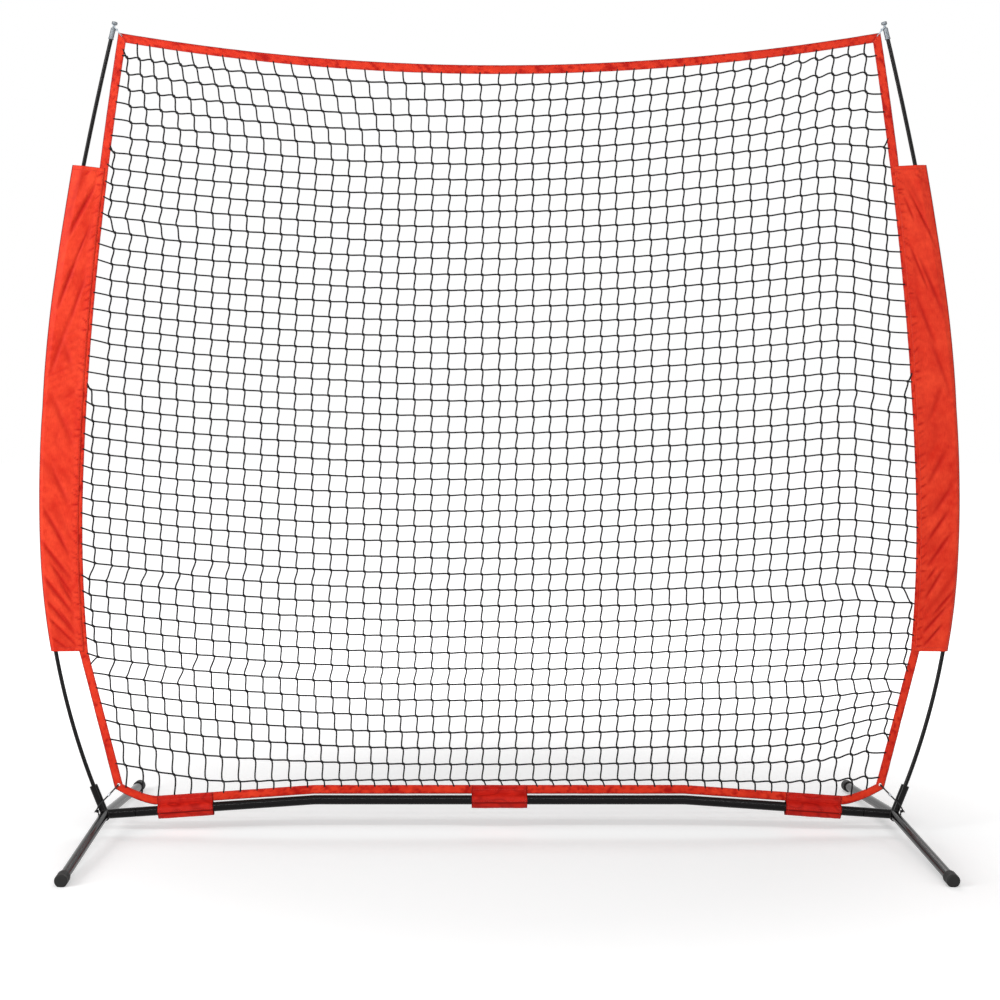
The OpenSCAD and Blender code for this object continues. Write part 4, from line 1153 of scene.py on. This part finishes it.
# Folds of each sleeve, above its lower hem and below its upper one: start and end as distance from
# the border and from the hem, half width and depth, in millimetres
SLEEVE_FOLDS = {
    "left": (
        [(-2, 8, 76, 92, 6, 5.0), (2, 42, 78, 140, 7, 3.6), (4, 96, 84, 205, 7, 4.2),
         (6, 150, 62, 238, 6, 3.0), (10, 196, 88, 300, 8, 3.4), (14, 262, 60, 352, 6, 2.6),
         (30, 300, 84, 392, 8, 2.2), (30, 6, 72, 40, 5, 2.4), (10, 60, 46, 112, 5, 2.6),
         (4, 126, 40, 190, 5, 2.2), (18, 404, 64, 500, 9, 1.8), (8, 560, 70, 690, 10, 1.5),
         (20, 760, 60, 860, 10, 1.2)],
        [(0, 34, 60, 190, 8, 3.6), (12, 176, 34, 250, 4, 4.2), (-4, 78, 2, 172, 3, 2.6),
         (24, 12, 40, 26, 5, 2.0), (34, 250, 70, 380, 7, 2.4), (6, 300, 36, 420, 7, 2.0),
         (40, 420, 78, 560, 9, 1.6)]),
    "right": (
        [(5, 10, 53, 71, 5, 3.6), (1, 46, 62, 120, 6, 4.6), (-3, 132, 46, 216, 6, 3.8),
         (2, 186, 30, 226, 5, 2.6), (30, 100, 80, 165, 7, 2.6), (8, 232, 66, 316, 7, 3.0),
         (4, 296, 60, 376, 7, 2.6), (20, 372, 72, 446, 8, 2.2), (8, 452, 58, 540, 9, 1.8),
         (16, 620, 60, 720, 10, 1.4)],
        [(20, 72, 74, 222, 4.5, 4.8), (2, 82, 22, 145, 4.5, 2.8), (0, 207, 40, 330, 5, 4.2),
         (41, 25, 70, 48, 4, 3.4), (50, 14, 66, 22, 4, 1.8), (30, 260, 76, 400, 8, 2.2),
         (8, 350, 46, 480, 8, 2.0), (40, 480, 80, 620, 9, 1.5)])}
SLEEVE_TILT = {"left": 8 * MM, "right": 3 * MM}
SLEEVE_SEEDS = {"left": 77, "right": 51}
# Heights of the low and high folds' ends above and below their own hems
FOLDS_REACH = 0.95, 0.65
REAR_FOLDS_SHIFT = 37 * MM
# Height and size of a sleeve's fine streaks, of its thin ones and of its soft swell
STREAKED, THIN, SOFT = (1.5 * MM, 0.022), (0.7 * MM, 0.009), (1.5 * MM, 0.07)
PLEAT_GAPS = 11, 30
PLEAT_REACH = 8 * MM
# Distances of the first rings from a hem. The seventh carries the hem's stitches.
HEM_RINGS = [d * MM for d in (0, 1.2, 2.5, 5, 8, 9, 10, 11, 12.5)]
HEM_SEAM = 6


def fold_at(folds, across, up):
    """Depth of the folds at a place, with a low ridge beside each, and how much painted shade it
    gets down in them.
    """
    total, crease = 0.0, 0.0
    for a0, u0, a1, u1, width, depth in folds:
        start, end = Vector((a0, u0)) * MM, Vector((a1, u1)) * MM
        run = end - start
        share = (Vector((across, up)) - start).dot(run) / run.length_squared
        near = start + run * min(1.1, max(-0.1, share))
        q = (Vector((across, up)) - near).length / (width * MM)
        if q < 3.5:
            taper = sin(pi * min(1, max(0, (share + 0.1) / 1.2))) ** 0.6
            total += 1.3 * depth * MM * taper * (1 - 0.9 * q * q) * exp(-q * q)
            # Painted shade down in the fold, deeper for deeper folds
            crease = max(crease, min(0.5, depth / 5) * taper * bell(q, 0.7))
    return total, crease


def sleeve_section(edge, outer, wall, base):
    """Front half of a sleeve's section round the pole's centre, from the border to the outside."""
    reach = hypot(edge, base)
    a_in = pi - atan2(base, -edge) - acos(wall / reach)
    a_out = min(atan2(0.6 * MM, outer) + acos(min(1, wall / outer)), pi / 2)
    first = Vector((edge, base))
    tangent, leave = ray(a_in, wall), ray(a_out, wall)
    flat = [Vector((edge - SLEEVE_LAP * (1 - k / 4), base)) for k in range(4)]
    flat += [first.lerp(tangent, k / SLEEVE_POINTS) for k in range(SLEEVE_POINTS)]
    flat += [ray(a_in + (a_out - a_in) * k / 8, wall) for k in range(8)]
    flat += [leave.lerp(Vector((outer, 0.5 * MM)), 1 - (1 - k / 8) ** 1.6) for k in range(9)]
    return flat, tangent.x - edge


def sleeve_rings(name, seed):
    """Rings of the right-hand form of a sleeve, from its front inner edge round the pole to its
    rear one, and how much painted shade each point gets."""
    rng = random.Random(seed)
    pleats = []
    spot = SLEEVE_LOW
    while spot < SLEEVE_HIGH:
        # They lean as the folds do: outwards going up, and inwards near the top
        way = 1 if spot < SLEEVE_LOW + 0.9 else -1
        pleats.append((spot, rng.uniform(0.2, 1.3), way * rng.uniform(-0.2, 1.0)))
        spot += rng.uniform(*PLEAT_GAPS) * MM
    span = SLEEVE_HIGH - SLEEVE_LOW
    count = round((span - 30 * MM) / (4.5 * MM))
    heights = HEM_RINGS + [15 * MM + (span - 30 * MM) * i / count for i in range(count + 1)]
    heights += [span - d for d in reversed(HEM_RINGS)]
    rings, painted_shades = [], []
    for up in heights:
        z = SLEEVE_LOW + up
        down = span - up
        from_hem = min(up, down)
        centre = pole_x(z)
        edge = side_x(z) - centre
        outer = 12 * MM + (SLEEVE_EDGE - 12 * MM) * max(0, 2 * up / span - 1)
        flat, on_pole = sleeve_section(edge, outer, WRAP_R, LAP_Y)
        still = 0.3 + 0.7 * smooth_step(from_hem / HEM)
        halves = []
        for face in (-1, 1):
            half = []
            key = seed + (0 if face < 0 else 40)
            shift = 0.0 if face < 0 else REAR_FOLDS_SHIFT
            for p in flat:
                across = p.x - edge
                # Free cloth between the seam and the pole moves most, and less over the pole
                free = smooth_step(across / (12 * MM))
                over = 1 - 0.5 * smooth_step((across - on_pole) / (10 * MM))
                (depth, crease), (more, upper) = (
                    fold_at(folds, across, away + shift) if away < reach else (0, 0)
                    for folds, away, reach in zip(SLEEVE_FOLDS[name], (up, down), FOLDS_REACH))
                depth += more
                # Fine streaks follow the folds: they lean out going up, and in under the top
                lean = 0.62 - 0.85 * smooth_step((up - 0.55) / 0.4)
                streak = across - lean * up
                busy = 0.4 + 0.6 * exp(-from_hem / 0.3)
                fine = ripple(key, (streak, up / 5), STREAKED[1])
                thin = ripple(key + 1, (streak, up / 4), THIN[1])
                soft = (STREAKED[0] * fine + THIN[0] * thin) * busy \
                    + SOFT[0] * ripple(key + 2, (across, up), SOFT[1])
                move = (soft - depth) * free * over * still
                pucker = 0.0
                for at, height, slope in pleats:
                    off = z - at - slope * across
                    if abs(off) < PLEAT_REACH:
                        pucker += height * bell(off, 2.6 * MM)
                # The cut edge is pressed to the border
                near = bell(across + SLEEVE_LAP / 2, 12 * MM) \
                    * smooth_step((across + SLEEVE_LAP) / (3 * MM))
                seam = bell(across + 10.5 * MM, 1.3 * MM)
                hem = bell(from_hem - 10 * MM, 1.0 * MM)
                move += (1.2 * MM - 1.6 * MM * pucker) * near - 0.5 * MM * (seam + hem)
                # Painted shade: darker down in folds, puckers and streak valleys, in the seam and
                # hem grooves, along the rolled outer edge and at the hem's fold
                crease = max(crease, upper) * free * over
                crease = max(crease, 0.5 * min(1, pucker) * near,
                             0.6 * busy * free * max(0, -fine - 0.05), 0.1 * seam, 0.2 * hem,
                             bell(outer - p.x, 2.2 * MM), 0.6 * bell(from_hem, 0.9 * MM))
                clear = sqrt(max(0, (7.5 * MM) ** 2 - p.x ** 2))
                low = 0.45 * MM if p.x > 0 else 2.7 * MM
                thick = max(p.y + move, clear, low)
                flutter = 1.5 * MM * ripple(seed + 9, (z, 0), 0.12) * smooth_step(
                    (p.x - 6 * MM) / (8 * MM))
                # The upper hem climbs outwards
                fall = SLEEVE_TILT[name] * (outer - p.x) / (outer - edge) * smooth_step(
                    1 - down / 0.2)
                half.append((Vector((centre + p.x, face * thick + flutter, z - fall)), crease))
            halves.append(half)
        row = halves[0] + halves[1][-2::-1]
        rings.append([p for p, _ in row])
        painted_shades.append([c for _, c in row])
    return rings, painted_shades


def make_sleeves():
    """Side sleeves: one cloth each, from the border's front round the pole to its rear."""
    for name, side in SIDES:
        rings, painted_shades = sleeve_rings(name, SLEEVE_SEEDS[name])
        rings = [mirrored(ring, side)[::side] for ring in rings]
        painted_shades = [row[::side] for row in painted_shades]
        sleeve = cloth_sheet(f"sleeve_cloth_{name}", rings, painted_shades, SLEEVE_CLOTH)
        last = len(rings[0]) - 1
        hems = HEM_SEAM, len(rings) - 1 - HEM_SEAM
        rows = sewn_rows(rings, (1, last - 1, last // 2 - 4, last // 2 + 4), hems)
        stitches = stitched(f"sleeve_stitches_{name}", rows, Material=THREAD)
        on_stand("red_fabric", sleeve, stitches)
        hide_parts(f"sleeve_{name}")


# -------- flaps

def along_bar(x, s, across, up):
    """Place beside the crossbar: s along it from x, to the rear and up from its centre."""
    rise = BAR_RISE if abs(x) > 0 else 0
    return Vector((x, across, bar_z(x))) + Vector((cos(rise) * s, 0, -sin(rise) * s)) \
        + up * Vector((sin(rise), 0, cos(rise)))


def wrapped(start, radius, to, way, lead=()):
    """Path in the plane across the bar: lead points, then a line onto a circle and round it."""
    first = atan2(start.y, start.x) + way * acos(radius / start.length)
    count = max(2, int(abs(to - first) * radius / (1.6 * MM)))
    arc = [ray(first + (to - first) * k / count, radius) for k in range(count + 1)]
    return evenly([p.to_3d() for p in (*lead, start, *arc)], FLAP_POINTS)


FLAP_Y = BORDER_T / 2 + 0.9 * MM
HINGE_UP = BORDER_RISE - BORDER_W / 2 + 1 * MM
FRONT_END = radians(196)
BACK_END = radians(150 - 360)
FLAP_STEPS = 50
FLAP_POINTS = 44


def flap_rings(x, half, seed):
    """Rings of one half of a flap along the bar, how much painted shade each point gets, and its
    length.
    """
    face = 1 if half == "back" else -1
    lead = [Vector((face * 3.1 * MM, up)) for up in (BORDER_RISE + BORDER_W / 2 - 1 * MM,
                                                     HINGE_UP + 4 * MM)]
    start = Vector((face * FLAP_Y, HINGE_UP))
    if half == "back":
        path = wrapped(start, TUBE_R + 1.0 * MM, BACK_END, -1, lead)
    else:
        path = wrapped(start, TUBE_R + 2.5 * MM, FRONT_END, 1, lead)
    length = path_length(path)
    rings, painted_shades = [], []
    for i in range(FLAP_STEPS + 1):
        s = FLAP_L * (i / FLAP_STEPS - 0.5)
        from_end = FLAP_L / 2 - abs(s)
        seam = bell(from_end - 6 * MM, 0.9 * MM)
        ring, row = [], []
        for k, p in enumerate(path):
            share = k / (len(path) - 1)
            to_edge = length * (1 - share)
            way = Vector((p.x, p.y)).normalized() if p.y < HINGE_UP else Vector((face, 0))
            place = (x + s, 2.5 * length * share)
            mottle = ripple(seed, place, 0.042)
            swell = 1.2 * MM * abs(mottle) + 0.6 * MM * abs(ripple(seed + 1, place, 0.011))
            swell *= 0.25 + 0.75 * smooth_step((HINGE_UP + 6 * MM - p.y) / (10 * MM))
            swell *= 0.4 + 0.6 * min(1, from_end / (7 * MM))
            # Painted shade in the hollows between the mottled swells
            crease = 0.32 * max(0, 0.25 - abs(mottle)) / 0.25
            if half == "front":
                # The free edge stands off the bar, and a painted dark line of shade runs along its
                # last 1.3 mm
                swell += 2.6 * MM * smooth_step((share - 0.5) / 0.5) * (
                    0.75 + 0.25 * ripple(seed + 2, (s, 0), 0.05))
                crease = max(crease, bell(to_edge, 1.3 * MM))
            else:
                # The rear half sags under the bar, in the shade of the front one's free edge
                swell *= 0.3 if share > 0.8 else 0.8
                swell += 6.6 * MM * max(0, -p.y / TUBE_R) ** 3
                at = atan2(p.y, p.x) % (2 * pi)
                if p.y < 0 and p.x < 0:
                    crease = max(crease, bell((at - FRONT_END) / 0.16, 1))
            swell -= 0.3 * MM * seam
            # Painted shade along the side seams and at the flap's ends
            crease = max(crease, 0.3 * seam, 0.8 * bell(from_end, 0.9 * MM))
            q = Vector((p.x, p.y)) + way * max(0, swell)
            ring.append(along_bar(x, s, q.x, q.y))
            row.append(crease)
        rings.append(ring)
        painted_shades.append(row)
    return rings, painted_shades, length


def make_flaps():
    """Three flaps: the rear half of each wraps the bar, and the front half hangs over it."""
    for name, x, side, seed in (("left", FLAP_X, -1, 31), ("right", FLAP_X, 1, 37),
                                ("middle", 0, 1, 43)):
        for half in ("back", "front"):
            rings, painted_shades, length = flap_rings(x, half, seed)
            turn = -1 if (half == "back") != (side < 0) else 1
            rings = [mirrored(ring, side)[::turn] for ring in rings]
            painted_shades = [row[::turn] for row in painted_shades]
            cloth = cloth_sheet(f"flap_cloth_{half}_{name}", rings, painted_shades, FLAP_CLOTH)
            picks = [k if turn > 0 else len(rings[0]) - 1 - k
                     for k in (2, 10, 40 if half == "front" else 42)]
            stitches = stitched(f"flap_stitches_{half}_{name}",
                                sewn_rows(rings, picks, (2, len(rings) - 3)), Material=THREAD)
            for piece in (cloth, stitches):
                if half == "front":
                    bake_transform(piece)
                else:
                    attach(piece, "stand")
            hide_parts(f"flap_{half}_{name}")


# -------- welds

LEG_BEND_R = 150 * MM
WELD_STEPS = 72


def saddle(axis, radius, side):
    """Line where a round member on the hub meets the leg tube, and the way each point faces."""
    across = Vector((axis.z, 0, -axis.x))
    points, ways = [], []
    for k in range(WELD_STEPS + 1):
        a = 2 * pi * k / WELD_STEPS
        rim = radius * (cos(a) * across + sin(a) * Vector((0, 1, 0)))
        leg_z = HUB.z - (LEG_BEND_R - sqrt(LEG_BEND_R ** 2 - rim.y ** 2))
        low, high = 0.0, 40 * MM
        for _ in range(24):
            mid = (low + high) / 2
            p = HUB + rim + axis * mid
            inside = hypot(p.x - HUB.x, p.z - leg_z) < TUBE_R
            low, high = (mid, high) if inside else (low, mid)
        p = HUB + rim + axis * high
        out = rim.normalized() * 0.7 + Vector((p.x - HUB.x, 0, p.z - leg_z)).normalized() * 0.5
        points.append(Vector((side * p.x, p.y, p.z)))
        ways.append((side * out.x, out.y, out.z))
    return points, ways


def make_welds():
    """Ripple beads where the bar stub and the pole socket are welded to each leg tube."""
    bar_axis = Vector((-cos(BAR_RISE), 0, sin(BAR_RISE)))
    for name, side in SIDES:
        rows = [saddle(axis, radius, side) for axis, radius in (
            (bar_axis, TUBE_R), (heading(SOCKET_TILT), SOCKET_R))]
        beads = stitched(f"weld_beads_{name}", rows, Pitch=1.5 * MM, Length=2.8 * MM,
                         Width=4.6 * MM, Depth=2.6 * MM, Segments=10, Rings=6,
                         Wander=0.12 * MM, Seed=17, Material=WELD)
        on_stand("steel_black", beads)


# -------- run

make_camera()
make_bungees()
make_top_loops()
make_net()
make_borders()
make_eyelet_stitches()
make_sleeves()
make_flaps()
make_welds()


# -------- finishes of the frame's own pieces

def paint(node, material):
    """Gives one of the frame's pieces its finish."""
    mesh = NODES[node].data
    mesh.materials.clear()
    mesh.materials.append(material)


for side, _ in SIDES:
    for node in ("leg_tube", "bar_stub", "half_bar", "pole_socket", "bungee_hook"):
        paint(f"{node}_{side}", STEEL)
    for node in ("snap_spring", "snap_button", "ferrule_lower", "ferrule_upper", "bungee_crimp"):
        paint(f"{node}_{side}", ZINC)
    for node in ("pole_lower", "pole_middle", "pole_upper"):
        paint(f"{node}_{side}", GLASS_FIBRE)
    for end in ("front", "rear"):
        paint(f"foot_{end}_{side}", RUBBER)
    paint(f"socket_bush_{side}", NYLON)
    paint(f"top_cap_{side}", ALUMINIUM)
for node in ("snap_spring_middle", "snap_button_middle"):
    paint(node, ZINC)


# -------- stage

def seen_rays(put):
    """1 for what the camera sees, also in metal and through glass, and 0 for light."""
    path = put("ShaderNodeLightPath").outputs
    seen = put("ShaderNodeMath", {0: path["Is Camera Ray"], 1: path["Is Glossy Ray"]},
               operation="MAXIMUM")
    return put("ShaderNodeMath", {0: seen, 1: path["Is Transmission Ray"]}, operation="MAXIMUM")


def pale_floor():
    """Matt pale floor: away from the net it is lifted to white, near it it keeps its shadows."""
    material, put = new_material("pale_floor")
    tone = put("ShaderNodeMix", {
        0: grains(put, 1.6, 1.0), 6: srgb("f2f2f2"), 7: srgb("f6f6f6")}, data_type="RGBA")
    matt = put("ShaderNodeBsdfPrincipled", {
        "Base Color": tone.outputs[2], "Roughness": 0.9, "Specular IOR Level": 0.0})
    away = put("ShaderNodeVectorMath",
               {0: put("ShaderNodeTexCoord").outputs["Object"]}, operation="LENGTH")
    lift = put("ShaderNodeMapRange", {
        "Value": away.outputs["Value"], "From Min": 0.7, "From Max": 2.8, "To Min": 0.24,
        "To Max": 0.85}, interpolation_type="SMOOTHSTEP")
    lift = put("ShaderNodeMath", {0: lift, 1: seen_rays(put)}, operation="MULTIPLY")
    glow = put("ShaderNodeEmission", {"Strength": lift})
    both = put("ShaderNodeAddShader", {0: matt, 1: glow})
    put("ShaderNodeOutputMaterial", {"Surface": both})
    return material


FLOOR_REACH = 40
NET_MIDDLE = Vector((0, 0, 1))
# Name, place, width, height and power of each lamp, in metres and watts
LAMPS = [("key", (-4.4, -3.0, 2.2), 1.6, 3.2, 150), ("fill", (4.2, -3.6, 2.0), 0.7, 3.0, 35),
         ("strip", (0, -3.6, 3.0), 5.0, 0.14, 55), ("rear", (0.5, 4.0, 3.6), 2.4, 2.4, 70)]


def make_stage():
    """Pale floor, white surroundings and soft lamps, which all face the middle of the net."""
    scene = bpy.context.scene
    scene.view_settings.view_transform = "Standard"
    ways = (-1, -1), (1, -1), (1, 1), (-1, 1)
    corners = [(x * FLOOR_REACH, y * FLOOR_REACH, 0) for x, y in ways]
    new_piece("floor", corners, [(0, 1, 2, 3)], pale_floor())

    world = bpy.data.worlds.new("white_studio")
    world.use_nodes = True
    world.node_tree.nodes.clear()
    put = partial(add, world.node_tree)
    strength = put("ShaderNodeMapRange", {"Value": seen_rays(put), "To Min": 0.3, "To Max": 1.0})
    light = put("ShaderNodeBackground", {"Color": (1, 1, 1, 1), "Strength": strength})
    put("ShaderNodeOutputWorld", {"Surface": light})
    scene.world = world

    for name, place, width, height, power in LAMPS:
        lamp = bpy.data.lights.new(name, "AREA")
        lamp.shape = "RECTANGLE"
        lamp.energy = power
        lamp.size = width
        lamp.size_y = height
        made = bpy.data.objects.new(name, lamp)
        scene.collection.objects.link(made)
        made.location = place
        made.rotation_euler = (NET_MIDDLE - made.location).to_track_quat("-Z", "Y").to_euler()


make_stage()
